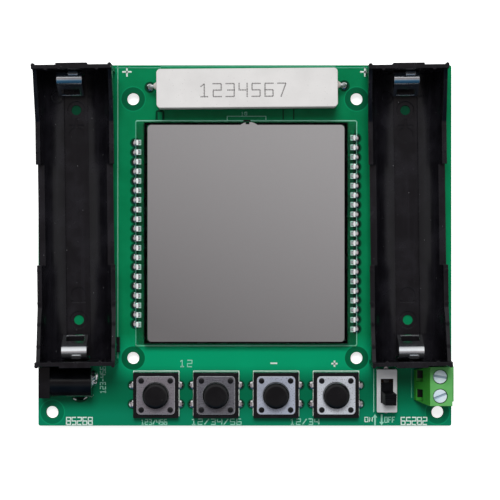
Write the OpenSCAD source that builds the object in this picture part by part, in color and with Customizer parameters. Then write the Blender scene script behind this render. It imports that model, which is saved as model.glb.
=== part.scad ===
// Battery capacity tester module: a circuit board that carries two cell holders, a load resistor,
// a segment display, four push buttons, a power jack, a slide switch and a wire terminal.
// X runs along the long side of the board, Y towards the load resistor, Z out of the display side.
// The origin is the centre of the four mounting holes, on the underside of the board.

/* [Board] */
// Length of the board along X
board_l = 110; // [109:0.5:114]
// Width of the board along Y
board_w = 96; // [95:0.5:100]
// Thickness of the board
board_t = 1.6; // [1.2:0.2:2.4]
// Radius of the corners of the board
board_corner_r = 0.5; // [0.2:0.1:1.5]
// How far the centre of the board lies below the centre of the mounting holes
board_drop = 4.5; // [4:0.1:5]
// Distance between the mounting holes along X
hole_pitch_x = 59.5; // [58.5:0.5:60.5]
// Distance between the mounting holes along Y
hole_pitch_y = 69; // [68:0.5:70]
// Diameter of every mounting hole
hole_d = 3.2; // [2.8:0.1:3.4]
// Distance between the two lower corner holes along X
corner_pitch = 102.6; // [101.6:0.2:103.4]
// How far the two lower corner holes lie below the centre of the mounting holes
corner_drop = 48.9; // [48:0.1:49.2]

/* [Cell holders] */
// Place of the left holder along X
left_holder_x = -44.5; // [-45:0.1:-44.2]
// Place of the right holder along X
right_holder_x = 43; // [42.6:0.1:44]
// Place of both holders along Y
holder_y = 3.25; // [3:0.05:3.5]
// Turn of both hand-placed holders, in degrees
holder_skew = 0.7; // [0:0.1:1]
// Length of a holder over its end walls
holder_l = 78.1; // [77.6:0.1:78.4]
// Width of a holder over its end walls
holder_w = 20.8; // [20.6:0.1:21]
// Height of the end walls
holder_h = 20; // [18:0.5:22]
// Thickness of an end wall
end_wall = 1; // [0.9:0.1:1.2]
// How far a side wall stands in from the edge of the end walls
side_inset = 0.1; // [0.05:0.05:0.2]
// How far the base is narrower than the side walls on each side
base_inset = 0.9; // [0.6:0.1:1]
// Diameter of the cell that the holder takes
cell_d = 18.3; // [18:0.1:18.5]
// Radial gap around the cell
cell_gap = 0.1; // [0.05:0.05:0.2]
// Thickness of the holder under the cell
holder_floor = 1.4; // [1.2:0.1:1.8]
// Width of the flat channel under the cell
channel_w = 6.3; // [5:0.1:7]
// Depth of that channel
channel_depth = 0.4; // [0.2:0.1:0.6]
// Height of the low middle of the side walls
low_rim_h = 6.5; // [5.5:0.5:8]
// Length of the low middle of the side walls
low_rim_l = 26.5; // [20:0.5:32]
// Height of the side walls next to the low middle
mid_rim_h = 9; // [8.5:0.5:11]
// Length over which the side walls stay at that height
mid_rim_l = 49; // [40:1:56]
// Height of the side walls where they meet the end walls
end_rim_h = 16.3; // [14:0.1:17.5]
// Diameter of the holes in the floor of the holder
floor_hole_d = 2.6; // [2:0.1:3.2]
// Distance between the holes in the floor of the holder
floor_hole_pitch = 55.8; // [50:0.1:58]
// Diameter of the counterbore of each floor hole
counterbore_d = 4.6; // [4:0.1:5.4]
// Diameter of the round ejector marks
ejector_d = 4; // [3:0.1:5]
// Distance between the ejector marks
ejector_pitch = 42.5; // [38:0.1:46]

/* [Cell contacts] */
// Width of a contact strip
strip_w = 6.6; // [5.6:0.1:7]
// Thickness of a contact strip
strip_t = 0.3; // [0.2:0.05:0.4]
// Gap between a strip and its end wall
strip_gap = 0.1; // [0.05:0.05:0.2]
// Radius of the bend at the top of a strip, at the middle of its thickness
bend_r = 1.8; // [1.4:0.1:2]
// Height of the centre of the bend above the board
bend_h = 11.4; // [11:0.1:12.5]
// Tilt of the sprung leaf from upright, in degrees
leaf_tilt = 17; // [17:1:24]
// Length of the straight part of the leaf
leaf_l = 8.1; // [7:0.1:8.5]
// Length of the window in the leaf
window_l = 4.6; // [3:0.1:5]
// Width of the metal on each side of the window
window_side = 0.9; // [0.6:0.1:1.2]
// Width of the tongue behind the bend
tongue_w = 2.5; // [2:0.1:3.5]
// Height of the tongue above the centre of the bend
tongue_h = 2; // [1.9:0.1:3]
// How far the lip of the tongue reaches in over the bend
lip_l = 0.9; // [0.6:0.1:1]
// Width of the tail that goes through the board
tail_w = 1.4; // [1:0.1:1.8]
// How far the upper strips sit to the left of their tongues
upper_shift = 1; // [0:0.1:1]
// How far the lower strips sit to the left of their tongues
lower_shift = 0.6; // [0:0.1:1]
// How much further right the contacts of the right holder sit
right_contact_x = 0.8; // [0:0.1:0.8]
// How much further from their end walls the lower contacts stand
lower_step_in = 0.4; // [0:0.1:0.6]

/* [Load resistor] */
// Place of the resistor along X
resistor_x = 0.6; // [0:0.1:1]
// Place of the resistor along Y
resistor_y = 36.9; // [36.7:0.1:37.3]
// Turn of the hand-placed resistor, in degrees
resistor_skew = 0.45; // [0:0.05:0.6]
// Length of the ceramic case
resistor_l = 47.6; // [46:0.1:49]
// Width of the ceramic case
resistor_w = 10.2; // [9.6:0.1:10.4]
// Height of the ceramic case
resistor_h = 9.4; // [8.5:0.1:10]
// Gap between the case and the board
resistor_lift = 0.5; // [0.3:0.1:1]
// Radius of the upright corners of the case
resistor_corner_r = 1; // [0.5:0.1:1.5]
// Wall of the ceramic case
resistor_wall = 1.3; // [1:0.1:1.6]
// Diameter of the wound rod inside
rod_d = 4; // [3.4:0.1:4.2]
// Length of the wound rod between its caps
rod_l = 32; // [26:0.5:34]
// Cement between the rod's caps and the wall behind it
rod_rear_gap = 0.5; // [0.3:0.1:1.4]
// Number of turns of resistance wire
wire_turns = 15; // [8:1:20]
// Diameter of the leads
lead_d = 0.8; // [0.6:0.1:0.9]
// Distance from each end of the case to the middle of its lead
lead_out = 2.05; // [1.9:0.05:2.4]

/* [Display] */
// Place of the display along X
display_x = 0.25; // [0:0.05:0.4]
// Place of the display along Y
display_y = -1.2; // [-1.5:0.05:-0.9]
// Height of both glasses along Y
glass_h = 59.1; // [58.6:0.1:60]
// Width of the front glass
front_glass_w = 54.4; // [53.6:0.1:54.6]
// Width of each ledge of the rear glass, which the pins grip
ledge_w = 2.1; // [1.9:0.1:2.2]
// Thickness of each glass
glass_t = 1.1; // [0.9:0.1:1.2]
// Gap between the board and the rear film
display_lift = 1.6; // [1.4:0.1:2.2]
// Thickness of the seal between the glasses
seal_t = 0.1; // [0.06:0.02:0.2]
// Width of the seal
seal_w = 1; // [0.6:0.1:1.4]
// How far the films stay in from the long sides of the front glass
film_side = 1.15; // [0.8:0.05:1.6]
// How far the films stay in from its upper and lower edges
film_end = 0.85; // [0.6:0.05:1.6]
// Thickness of each film
film_t = 0.2; // [0.15:0.05:0.3]
// Radius of the corners of the films
film_corner_r = 1; // [0.5:0.1:2]
// Distance between neighbouring display pins
pin_pitch = 2.54; // [2.5:0.01:2.6]
// Number of pins on the left side
left_pins = 20; // [16:1:20]
// Number of pins on the right side
right_pins = 21; // [17:1:21]
// Width of a display pin along Y
clip_w = 0.7; // [0.5:0.05:0.9]
// Thickness of a display pin
clip_t = 0.3; // [0.2:0.05:0.4]
// Reach of a pin's upper finger over the ledge
clip_reach = 1.5; // [1:0.1:1.7]

/* [Push buttons] */
// Place of the middle of the row of buttons along X
button_x = 0.3; // [0:0.1:0.6]
// Place of the row of buttons along Y
button_y = -44.25; // [-44.6:0.05:-43.9]
// Distance between neighbouring buttons
button_pitch = 15.95; // [15.6:0.05:16.2]
// Side of the square base of a button
base_side = 12; // [11.4:0.1:12]
// Height of that base
base_h = 3.3; // [3.1:0.1:3.6]
// Height of the floor of its round cavity
cavity_floor = 1.6; // [1.4:0.1:1.7]
// Side of the metal cover
cover_side = 10.1; // [9.8:0.1:10.4]
// Thickness of the metal cover
cover_t = 0.3; // [0.2:0.05:0.4]
// Distance between the rivets of the cover
rivet_pitch = 7.7; // [7.5:0.1:8]
// Diameter of a rivet
rivet_d = 1.5; // [1.3:0.1:1.6]
// Diameter of the plunger
plunger_d = 6.9; // [6:0.1:7]
// Height of the top of the plunger above the board
plunger_h = 7.3; // [6.5:0.1:9]
// Radius of the plunger's top edge
plunger_edge_r = 0.9; // [0.4:0.1:1.2]
// Travel of a plunger
button_travel = 0.3; // [0.2:0.05:0.35]
// Rise of the snap dome at its middle
dome_rise = 0.38; // [0.36:0.01:0.4]
// Distance between the two legs on one side of a button
button_leg_pitch = 5; // [4.6:0.1:5.4]
// Width of a button leg
button_leg_w = 0.9; // [0.7:0.1:1]
// Thickness of a button leg
button_leg_t = 0.3; // [0.2:0.05:0.4]

/* [Power jack] */
// Place of the front face of the jack along X
jack_front_x = -54.1; // [-54.6:0.1:-53.8]
// Place of the jack along Y
jack_y = -40.5; // [-40.8:0.05:-40.5]
// Length of the jack
jack_l = 13.7; // [13.6:0.1:14.4]
// Length of its front block
jack_front_l = 2.9; // [2.6:0.1:3.5]
// Width of its front block
jack_front_w = 8.2; // [8:0.1:8.4]
// Height of its front block
jack_h = 11; // [10.8:0.1:11.4]
// Diameter of the barrel behind the front block
barrel_d = 7.8; // [7.6:0.1:8]
// Height of the socket's axis above the board
socket_h = 6.5; // [6.4:0.1:6.8]
// Diameter of the socket
socket_d = 6.2; // [6:0.1:6.3]
// Depth of the socket
socket_depth = 9.3; // [9:0.1:9.5]
// Diameter of the centre pin
centre_pin_d = 2; // [1.6:0.1:2.1]
// Diameter of the centre pin's root in the wall behind the socket
pin_root_d = 2.6; // [2.4:0.1:3]
// How far the tip of the centre pin stands back from the front face
centre_pin_inset = 1; // [0.5:0.1:2]
// Distance from the front face to the sleeve spring's tail
sleeve_tail_x = 7.7; // [7.4:0.1:8]
// Distance from the front face to the leg of the shunt contact
shunt_leg_x = 10.4; // [10:0.1:10.8]

/* [Slide switch] */
// Place of the switch along X
switch_x = 37.6; // [37.2:0.1:38]
// Place of the switch along Y
switch_y = -43; // [-43.3:0.1:-42.9]
// Length of the metal frame along Y
frame_l = 11.4; // [11:0.1:11.8]
// Width of the metal frame
frame_w = 5.3; // [5.2:0.1:6]
// Height of the top of the frame above the board
frame_h = 4.7; // [4.5:0.1:5.2]
// Thickness of the frame's sheet
frame_t = 0.3; // [0.25:0.05:0.4]
// Length of the window in the frame
slot_l = 6.4; // [6.2:0.1:6.8]
// Width of the window in the frame
slot_w = 3.3; // [3.2:0.1:3.6]
// Length of the handle of the knob
handle_l = 3; // [2.6:0.1:3.2]
// Height of the handle's top above the board
handle_h = 9; // [7:0.1:9.5]
// Play of the handle at each end of the window
handle_play = 0.15; // [0.15:0.05:0.4]
// Lean of the loose handle to the right, in degrees
handle_lean = 10; // [0:1:10]
// Lean of the loose handle downwards, in degrees
handle_dip = 7; // [0:1:7]
// Distance between the switch's terminals
terminal_step = 2.5; // [2.3:0.1:2.7]

/* [Wire terminal] */
// Place of the front foot of the terminal along X
block_front_x = 45; // [44.8:0.1:45.4]
// Place of the terminal along Y
block_y = -41.55; // [-41.7:0.05:-41.5]
// Depth of the terminal at its foot
block_depth = 9.5; // [9.4:0.1:9.8]
// Depth of the terminal's flat top
block_top = 5.9; // [5.8:0.1:6.2]
// Height of the terminal
block_h = 10.2; // [10:0.1:11]
// Distance between its two wire ways
way_pitch = 5.08; // [5:0.02:5.1]
// Plastic beyond each outer wire way
block_side = 0.05; // [0:0.05:0.1]
// Distance from the rear of the terminal to the axis of its screws
screw_inset = 3.2; // [3.1:0.05:3.2]
// Diameter of a screw head
screw_head_d = 3.5; // [3.2:0.1:3.6]
// Height of a screw head
screw_head_h = 1.3; // [1.1:0.1:1.5]
// How far a screw head lies below the top
screw_sink = 0.4; // [0.2:0.1:0.6]
// Diameter of the thread of a screw
screw_d = 2.5; // [2.2:0.1:2.6]
// Width of the slot in a screw head
screw_slot_w = 0.6; // [0.4:0.1:0.8]
// Depth of the slot in a screw head
screw_slot_depth = 0.7; // [0.4:0.1:0.8]
// Rise of a clamp cage from open to closed
clamp_travel = 1.7; // [1.2:0.1:1.7]
// Height of the wire opening
entry_h = 2.7; // [2.4:0.1:2.7]
// Width of the wire opening
entry_w = 3; // [2.6:0.1:3.2]
// Wall of a clamp cage
cage_wall = 0.6; // [0.5:0.05:0.7]

/* [Underside parts] */
// Side of the display driver's square body
driver_side = 10; // [8:0.5:12]
// Length of the controller's body along X
controller_l = 12.8; // [10:0.1:14]
// Width of the controller's body
controller_w = 7.5; // [6:0.1:8]
// Height of both chip bodies
chip_h = 1.4; // [1:0.1:1.5]
// Distance between neighbouring legs of both chips
chip_pitch = 1.27; // [1.1:0.01:1.3]
// Legs on each side of the driver
driver_legs = 7; // [4:1:7]
// Legs on each long side of the controller
controller_legs = 10; // [6:1:10]
// Length of each power transistor along X
transistor_l = 6.5; // [6:0.1:7]
// Distance between the two power transistors
transistor_pitch = 14; // [12:0.5:18]
// Length of a chip resistor or a chip capacitor
chip_l = 2; // [1.6:0.1:2.2]
// Width of a chip resistor or a chip capacitor
chip_w = 1.25; // [0.8:0.05:1.4]
// Distance between neighbouring chips in a row along X
row_step = 4; // [3:0.1:4]
// Distance between neighbouring chips in a row along Y
column_step = 3; // [2.4:0.1:3.1]

/* [Solder and legs] */
// How far the longest legs reach below the board
leg_reach = 1.9; // [1.6:0.1:2.4]
// Width of the solder land around a hole
land_w = 0.4; // [0.3:0.05:0.45]
// Height of the solder cone below the board
solder_h = 1.1; // [0.8:0.1:1.4]
// Height of the solder fillet above the board
fillet_h = 0.25; // [0.1:0.05:0.25]
// Gap between a leg and its hole, at the leg's corners
leg_gap = 0.15; // [0.1:0.05:0.2]

/* [Hidden] */
$fn = 48;

// A small length that keeps cutting bodies clear of the faces they cut through
eps = 0.5;
// Gap between pieces that sit in each other and don't move
seat = 0.01;
// Gap between pieces that slide or turn in each other
slip = 0.05;

// Cell holder, seen from the centre of its underside on the board
inner_w = cell_d + 2*cell_gap + 0.1;
side_w = holder_w - 2*side_inset;
cell_h = holder_floor + cell_d/2 + cell_gap;
bay_l = holder_l - 2*end_wall;
nub_r = 0.5;
waist_inset = 0.35;
tab_w = 8.1;
tab_t = 0.45;
end_rib_x = 6.6;
end_rib_r = 0.45;
lug_l = 4;
lug_w = 0.6;
lug_h = 3;
lug_y = 34.2;
// The steps of the side walls and the marks in the floor sit this much above the holder's middle
mid_shift = 0.35;
// The corner posts start above the power jack, which reaches under one of them
post_z = jack_h + 0.5;
mark_depth = 0.25;
side_mark = [-4.9, 31.5];
side_mark_d = 3.4;
ring_w = 0.3;
rim_nubs = [-34.1, -28.4, -22.9, -14.4];
rim_lands = [[16.7, 24.1], [30.7, 35.3]];
rim_nub_h = 0.35;
rim_nub_r = 0.5;

// Contact strip, measured inwards from the end wall
plate_v = strip_gap + strip_t/2;
bend_v = plate_v + bend_r;
leaf_root = [bend_v + bend_r*cos(leaf_tilt), bend_h + bend_r*sin(leaf_tilt)];
tail_slot_gap = 0.15;
leaf_bar = 0.55;

// Load resistor
lead_reach = resistor_l/2 + lead_out;
cap_r = rod_d/2 + 0.4;
// The rod lies off the middle of its room, towards the upper edge of the board
rod_y = resistor_w/2 - resistor_wall - rod_rear_gap - cap_r;

// Display, measured up from the board
rear_glass_w = front_glass_w + 2*ledge_w;
film_w = front_glass_w - 2*film_side;
film_h = glass_h - 2*film_end;
seal_inset = 0.25;
rear_film_z = display_lift;
rear_glass_z = rear_film_z + film_t;
seal_z = rear_glass_z + glass_t;
front_glass_z = seal_z + seal_t;
front_film_z = front_glass_z + glass_t;
clip_gap = 0.02;
clip_x = rear_glass_w/2 + clip_gap + clip_t/2;
plug_r = 1;
plug_proud = 0.4;
film_shift = [0.05, -0.1];
// The glasses sit a little above the middle of their pins
pin_drop = 0.15;
// The front film bulges over the place where the display was filled
bulge_x = 0.8;
bulge_w = 4.5;
bulge_h = 0.75;
bulge_r = (pow(bulge_w, 2)/4 + pow(bulge_h, 2))/(2*bulge_h);
bulge_notch = [1, 0.6];

// Push button, measured up from the board
cavity_d = 8.6;
flange_d = 8;
flange_h = 0.9;
plunger_gap = 0.1;
rivet_head_h = 0.25;
rivet_gap = 0.03;
dome_d = 8.2;
dome_t = 0.12;
dome_nub_d = 2.4;
button_leg_x = base_side/2 + button_leg_t/2 + 0.1;
tongue_in = 2.4;
flange_z = base_h - slip - flange_h;

// Power jack, measured from the middle of the foot of its front face
spring_w = 3;
spring_t = 0.3;
spring_top = 2.7;
spring_front = 1.6;
spring_bend_r = 0.5;
spring_split = 45;
bump_r = 1.15;
bump_x = 3;
bump_rise = 0.65;
pin_plate_t = 0.5;
pin_plate_w = 3.2;
pin_tail_w = 1.8;
shunt_w = 2.2;
shunt_t = 0.3;
shunt_y = 3.6;
jack_room = 0.15;

// Slide switch, measured from its middle on the board
switch_lift = 0.3;
phenol_t = 1;
terminal_d = 0.7;
rivet_h = 0.2;
wiper_t = 0.2;
wiper_w = 1.6;
carrier_t = 1.6;
carrier_l = 7.4;
handle_w = slot_w - 2*0.15;
handle_y = -slot_l/2 + handle_play + handle_l/2;
frame_tab_w = 1;
ridge_step = 0.6;

// Wire terminal, measured from the middle of its rear foot
block_w = 2*way_pitch + 2*block_side;
cage_l = 3.7;
cage_w = 3.9;
cage_foot = 1.6;
bar_t = 0.65;
bar_w = 2.3;
bar_leg_w = 1;
bar_leg_t = 0.6;
wire_z = cage_foot + cage_wall;
bar_z = wire_z + entry_h;
cage_h = 2*cage_wall + entry_h + bar_t + 0.05;
head_z = block_h - screw_sink - screw_head_h;
web_t = 0.45;
well_gap = 0.2;
heel_rib = 0.55;
toe_chamfer = [3.4, 1.2];
funnel_h = 1.4;
slot_turns = [-22, 10];

// Underside parts, with the middle of each
driver_at = [-12, 2];
controller_at = [14, -12];
transistors_at = [0, 30.5];
regulator_at = [-33.5, -46];
sense_at = [0, 19];
transistor_w = 6;
transistor_h = 2.2;
transistor_leg_step = 4.58;
regulator_size = [4.5, 2.5, 1.5];
regulator_leg_step = 1.5;
chip_leg_w = 0.4;
chip_leg_t = 0.2;
chip_leg_out = 1;
chip_lift = 0.1;
resistor_chip = [chip_l, chip_w, 0.5];
capacitor_chip = [chip_l, chip_w, 1];
sense_chip = [6.4, 3.2, 0.6];
resistor_row_at = [-20, 12];
resistor_column_at = [6, 11];
capacitor_row_at = [4, -3];
capacitor_column_at = [-36.6, -36.5];
resistor_places = concat([for (i = [0 : 5]) resistor_row_at + [i*row_step, 0]],
                         [for (i = [0 : 3]) resistor_column_at - [0, i*column_step]]);
capacitor_places = concat([for (i = [0 : 4]) capacitor_row_at + [i*row_step, 0]],
                          [for (i = [0 : 2]) capacitor_column_at - [0, i*column_step]]);

// Legs that go through the board: middle, turn, size along the turned X, size along the turned Y (0 is
// round), and the solder on the display side: 0 for none, 1 for a ring, 2 for a ring that a body cuts short
display_legs = [
    for (i = [0 : left_pins - 1])
        [display_x - clip_x, pin_y(i, left_pins), 0, clip_t, clip_w, 1],
    for (i = [0 : right_pins - 1])
        [display_x + clip_x, pin_y(i, right_pins), 0, clip_t, clip_w, 1]
];
button_leg_list = [
    for (i = [0 : 3], sx = [-1, 1], sy = [-1, 1])
        [button_cx(i) + sx*button_leg_x, button_y + sy*button_leg_pitch/2, 0, button_leg_t, button_leg_w, 2]
];
lead_list = [for (s = [-1, 1])
    concat([resistor_x, resistor_y] + turned([s*lead_reach, rod_y], resistor_skew), [0, lead_d, 0, 1])];
tail_list = [for (x = [left_holder_x, right_holder_x], s = [-1, 1])
    concat([x, holder_y] + turned([contact_x(x), s*(bay_l/2 - plate_v - step_in(s))], holder_skew),
           [holder_skew, tail_w, strip_t, 0])];
jack_leg_list = [
    [jack_front_x + jack_l - jack_room - pin_plate_t/2, jack_y, 0, pin_plate_t, pin_tail_w, 2],
    [jack_front_x + sleeve_tail_x, jack_y, 0, spring_t, pin_tail_w, 0],
    [jack_front_x + shunt_leg_x, jack_y - shunt_y, 0, shunt_w, shunt_t, 2]
];
switch_leg_list = [
    for (i = [-1 : 1]) [switch_x, switch_y + i*terminal_step, 0, terminal_d, 0, 0],
    for (s = [-1, 1]) [switch_x, switch_y + s*(frame_l - frame_t)/2, 0, frame_tab_w, frame_t, 0]
];
bar_leg_list = [for (s = [-1, 1])
    [block_rear_x() - bar_leg_x(), block_y + s*way_pitch/2, 0, bar_leg_t, bar_leg_w, 0]];
all_legs = concat(display_legs, button_leg_list, lead_list, tail_list, jack_leg_list,
                  switch_leg_list, bar_leg_list);

function turned(p, a) = [p.x*cos(a) - p.y*sin(a), p.x*sin(a) + p.y*cos(a)];
function contact_x(x) = x > 0 ? right_contact_x : 0;
function step_in(s) = s == 1 ? 0 : lower_step_in;
function strip_shift(s) = s == 1 ? upper_shift : lower_shift;
function button_cx(i) = button_x + (i - 1.5)*button_pitch;
function block_rear_x() = block_front_x + block_depth;
function bar_leg_x() = screw_inset - cage_l/2 - slip - 0.1 - bar_leg_t/2;
function pin_y(i, count) = display_y - pin_drop + (i - (count - 1)/2)*pin_pitch;
function leg_hole_d(leg) = norm([leg[3], leg[4]]) + 2*leg_gap;

// Helpers

module at_holder(x) {
    translate([x, holder_y, board_t]) rotate([0, 0, holder_skew]) children();
}

module at_button(i) {
    translate([button_cx(i), button_y, board_t]) children();
}

module at_display() {
    translate([display_x, display_y, board_t]) children();
}

module at_resistor() {
    translate([resistor_x, resistor_y, board_t]) rotate([0, 0, resistor_skew]) children();
}

module at_jack() {
    translate([jack_front_x, jack_y, board_t]) children();
}

module at_switch() {
    translate([switch_x, switch_y, board_t]) children();
}

// One wire way of the terminal: X runs from the rear towards the wire's entry
module at_way(s) {
    translate([block_rear_x(), block_y + s*way_pitch/2, board_t]) mirror([1, 0, 0]) children();
}

module box_on(size, h, z = 0) {
    translate([-size.x/2, -size.y/2, z]) cube([size.x, size.y, h]);
}

module rounded_plate(size, r, h) {
    linear_extrude(h) rounded_outline(size, r);
}

module rounded_outline(size, r) {
    square([size.x - 2*r, size.y], center = true);
    square([size.x, size.y - 2*r], center = true);
    for (sx = [-1, 1], sy = [-1, 1])
        translate([sx*(size.x/2 - r), sy*(size.y/2 - r)]) circle(r);
}

// A leg's cross-section, from z0 up to z1
module leg_bar(leg, z0, z1, grow = 0) {
    translate([leg.x, leg.y, z0]) rotate([0, 0, leg[2]])
        if (leg[4] == 0) cylinder(h = z1 - z0, d = leg[3] + 2*grow);
        else box_on([leg[3] + 2*grow, leg[4] + 2*grow], z1 - z0);
}

// Board

module circuit_board() {
    color("#0a7d4c")
    difference() {
        translate([0, -board_drop, 0]) rounded_plate([board_l, board_w], board_corner_r, board_t);
        for (sx = [-1, 1], sy = [-1, 1])
            translate([sx*hole_pitch_x/2, sy*hole_pitch_y/2, -eps])
                cylinder(h = board_t + 2*eps, d = hole_d);
        for (sx = [-1, 1])
            translate([sx*corner_pitch/2, -corner_drop, -eps]) cylinder(h = board_t + 2*eps, d = hole_d);
        for (leg = all_legs)
            translate([leg.x, leg.y, -eps]) cylinder(h = board_t + 2*eps, d = leg_hole_d(leg));
    }
}

module solder_joints() {
    color("#c9cccd")
    for (leg = all_legs)
        difference() {
            translate([leg.x, leg.y, 0])
                rotate_extrude($fn = 24) solder_profile(leg_hole_d(leg)/2, leg[5] > 0);
            leg_bar(leg, -leg_reach - eps, board_t + eps, seat);
            if (leg[5] == 2) seated_bodies();
        }
}

// The feet of the buttons and of the jack, as they stand on the board
module seated_bodies() {
    for (i = [0 : 3]) at_button(i) box_on([base_side + 2*seat, base_side + 2*seat], 1);
    at_jack() translate([0, -barrel_d/2 - seat, 0]) cube([jack_l + seat, barrel_d + 2*seat, 1]);
}

module solder_profile(hole_r, on_top) {
    land_r = hole_r + land_w;
    tip_r = hole_r*0.8;
    lower = [[0, -solder_h], [tip_r, -solder_h], [land_r, 0], [hole_r - seat, 0]];
    upper = on_top
        ? [[hole_r - seat, board_t], [land_r, board_t], [hole_r, board_t + fillet_h], [0, board_t + fillet_h]]
        : [[hole_r - seat, board_t], [0, board_t]];
    polygon(concat(lower, upper));
}

// Cell holders

module cell_holder(x) {
    color("#141416")
    at_holder(x)
    difference() {
        union() {
            holder_walls();
            translate([side_w/2 - base_inset - eps, -lug_y - lug_l/2, 0])
                cube([base_inset + lug_w + eps, lug_l, lug_h]);
            rim_details();
        }
        cell_room();
        holder_marks();
        for (s = [-1, 1]) translate([contact_x(x), 0, 0]) tail_slot(s);
    }
    color("#141416") at_holder(x) for (s = [-1, 1]) holder_end(s);
}

module holder_walls() {
    intersection() {
        rotate([90, 0, 90]) linear_extrude(holder_w, center = true) side_outline();
        rotate([90, 0, 0]) linear_extrude(holder_l, center = true) polygon([
            [-side_w/2 + base_inset, 0], [side_w/2 - base_inset, 0],
            [side_w/2 - waist_inset, low_rim_h], [side_w/2, mid_rim_h], [side_w/2, holder_h],
            [-side_w/2, holder_h], [-side_w/2, mid_rim_h], [-side_w/2 + waist_inset, low_rim_h]]);
    }
}

// The side walls seen from the side: high at the ends, sloping to a step, and low in the middle
module side_outline() {
    ends = holder_l/2 - end_wall/2;
    polygon([
        [-ends, 0], [ends, 0], [ends, end_rim_h],
        [mid_shift + mid_rim_l/2, mid_rim_h], [mid_shift + low_rim_l/2, mid_rim_h],
        [mid_shift + low_rim_l/2, low_rim_h], [mid_shift - low_rim_l/2, low_rim_h],
        [mid_shift - low_rim_l/2, mid_rim_h], [mid_shift - mid_rim_l/2, mid_rim_h],
        [-ends, end_rim_h]]);
}

module holder_end(s) {
    translate([0, s*(holder_l - end_wall)/2, 0]) box_on([holder_w, end_wall], holder_h);
    translate([0, s*(holder_l + tab_t)/2, 0]) box_on([tab_w, tab_t + 2*seat], holder_h);
    for (sx = [-1, 1]) {
        translate([sx*(holder_w/2 - nub_r + 0.05), s*(holder_l/2 - 0.05), post_z])
            cylinder(h = holder_h - post_z, r = nub_r, $fn = 24);
        translate([sx*end_rib_x, s*(bay_l/2 + 0.05), 0]) cylinder(h = holder_h, r = end_rib_r, $fn = 24);
    }
}

module rim_details() {
    for (sx = [-1, 1]) {
        for (y = rim_nubs)
            translate([sx*(side_w/2 - rim_nub_r + 0.05), y, low_rim_h - 1])
                cylinder(h = rim_at(y) + rim_nub_h - low_rim_h + 1, r = rim_nub_r, $fn = 24);
        for (land = rim_lands) rim_land(sx, land);
    }
}

// A short raised stretch of the rim that follows its slope
module rim_land(sx, land) {
    translate([sx*(side_w/2 - 0.45), 0, 0]) rotate([90, 0, 90]) linear_extrude(0.6, center = true)
        polygon([[land[0], low_rim_h - 1], [land[1], low_rim_h - 1],
                 [land[1], rim_at(land[1]) + rim_nub_h], [land[0], rim_at(land[0]) + rim_nub_h]]);
}

function rim_at(y) = let (d = abs(y - mid_shift), ends = holder_l/2 - end_wall/2 - sign(y)*mid_shift)
    d < low_rim_l/2 ? low_rim_h
    : d < mid_rim_l/2 ? mid_rim_h
    : mid_rim_h + (end_rim_h - mid_rim_h)*(d - mid_rim_l/2)/(ends - mid_rim_l/2);

// The space for the cell: a round cradle, straight walls above it and a flat channel below it
module cell_room() {
    translate([0, 0, cell_h]) rotate([90, 0, 0])
        cylinder(h = bay_l, d = cell_d + 2*cell_gap, center = true, $fn = 96);
    translate([0, 0, cell_h]) box_on([inner_w, bay_l], holder_h);
    translate([0, 0, holder_floor - channel_depth]) box_on([channel_w, bay_l], cell_h);
}

module holder_marks() {
    floor_z = holder_floor - channel_depth;
    for (s = [-1, 1]) translate([0, mid_shift, 0]) {
        translate([0, s*floor_hole_pitch/2, -eps]) cylinder(h = holder_h, d = floor_hole_d);
        translate([0, s*floor_hole_pitch/2, floor_z/2]) cylinder(h = holder_h, d = counterbore_d);
        translate([0, s*ejector_pitch/2, floor_z - mark_depth]) cylinder(h = holder_h, d = ejector_d);
        translate([-2, s*polarity_y(), floor_z - mark_depth]) cube([4, 0.6, holder_h/2]);
    }
    ring_mark();
    translate([-0.3, mid_shift + polarity_y() - 1.7, floor_z - mark_depth]) cube([0.6, 4, holder_h/2]);
}

// The witness line of an ejector pin on the round cradle: a shallow ring that follows its curve
module ring_mark() {
    intersection() {
        translate([side_mark.x, side_mark.y, 0]) difference() {
            cylinder(h = cell_h, d = side_mark_d);
            translate([0, 0, -eps]) cylinder(h = cell_h + 2*eps, d = side_mark_d - 2*ring_w);
        }
        translate([0, 0, cell_h]) rotate([90, 0, 0])
            cylinder(h = bay_l, r = cell_d/2 + cell_gap + mark_depth, center = true, $fn = 96);
    }
}

function polarity_y() = floor_hole_pitch/2 - 4.6;

module tail_slot(s) {
    translate([-strip_shift(s), s*(bay_l/2 - plate_v - step_in(s)), -eps])
        box_on([strip_w + 2*tail_slot_gap, strip_t + 2*tail_slot_gap], holder_floor + eps + 1.6);
}

// Cell contacts: s is 1 at the upper end of a holder and -1 at its lower end

module at_end(x, s) {
    at_holder(x) translate([contact_x(x), s*(bay_l/2 - step_in(s)), 0])
        mirror([0, s == 1 ? 1 : 0, 0]) children();
}

module strip_slab(w) {
    rotate([90, 0, 90]) linear_extrude(w, center = true) children();
}

// The part of the bend between two angles, seen from the side
module bend_arc(a0, a1) {
    far = 4*bend_r;
    translate([bend_v, bend_h]) intersection() {
        difference() {
            circle(bend_r + strip_t/2);
            circle(bend_r - strip_t/2);
        }
        polygon(concat([[0, 0]], [for (a = [a0, (a0 + a1)/2, a1]) far*[cos(a), sin(a)]]));
    }
}

module contact_anchors() {
    color("#c3c6c8")
    for (x = [left_holder_x, right_holder_x], s = [-1, 1])
        at_end(x, s) {
            translate([-strip_shift(s), 0, 0]) strip_slab(strip_w) {
                bend_arc(90.5, 180);
                translate([plate_v - strip_t/2, 0.1]) square([strip_t, bend_h - 0.1 + seat]);
            }
            strip_slab(tongue_w) translate([strip_gap, bend_h]) tongue_outline();
            strip_slab(tail_w)
                translate([plate_v - strip_t/2, -board_t - leg_reach])
                    square([strip_t, board_t + leg_reach + 0.2]);
        }
}

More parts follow.
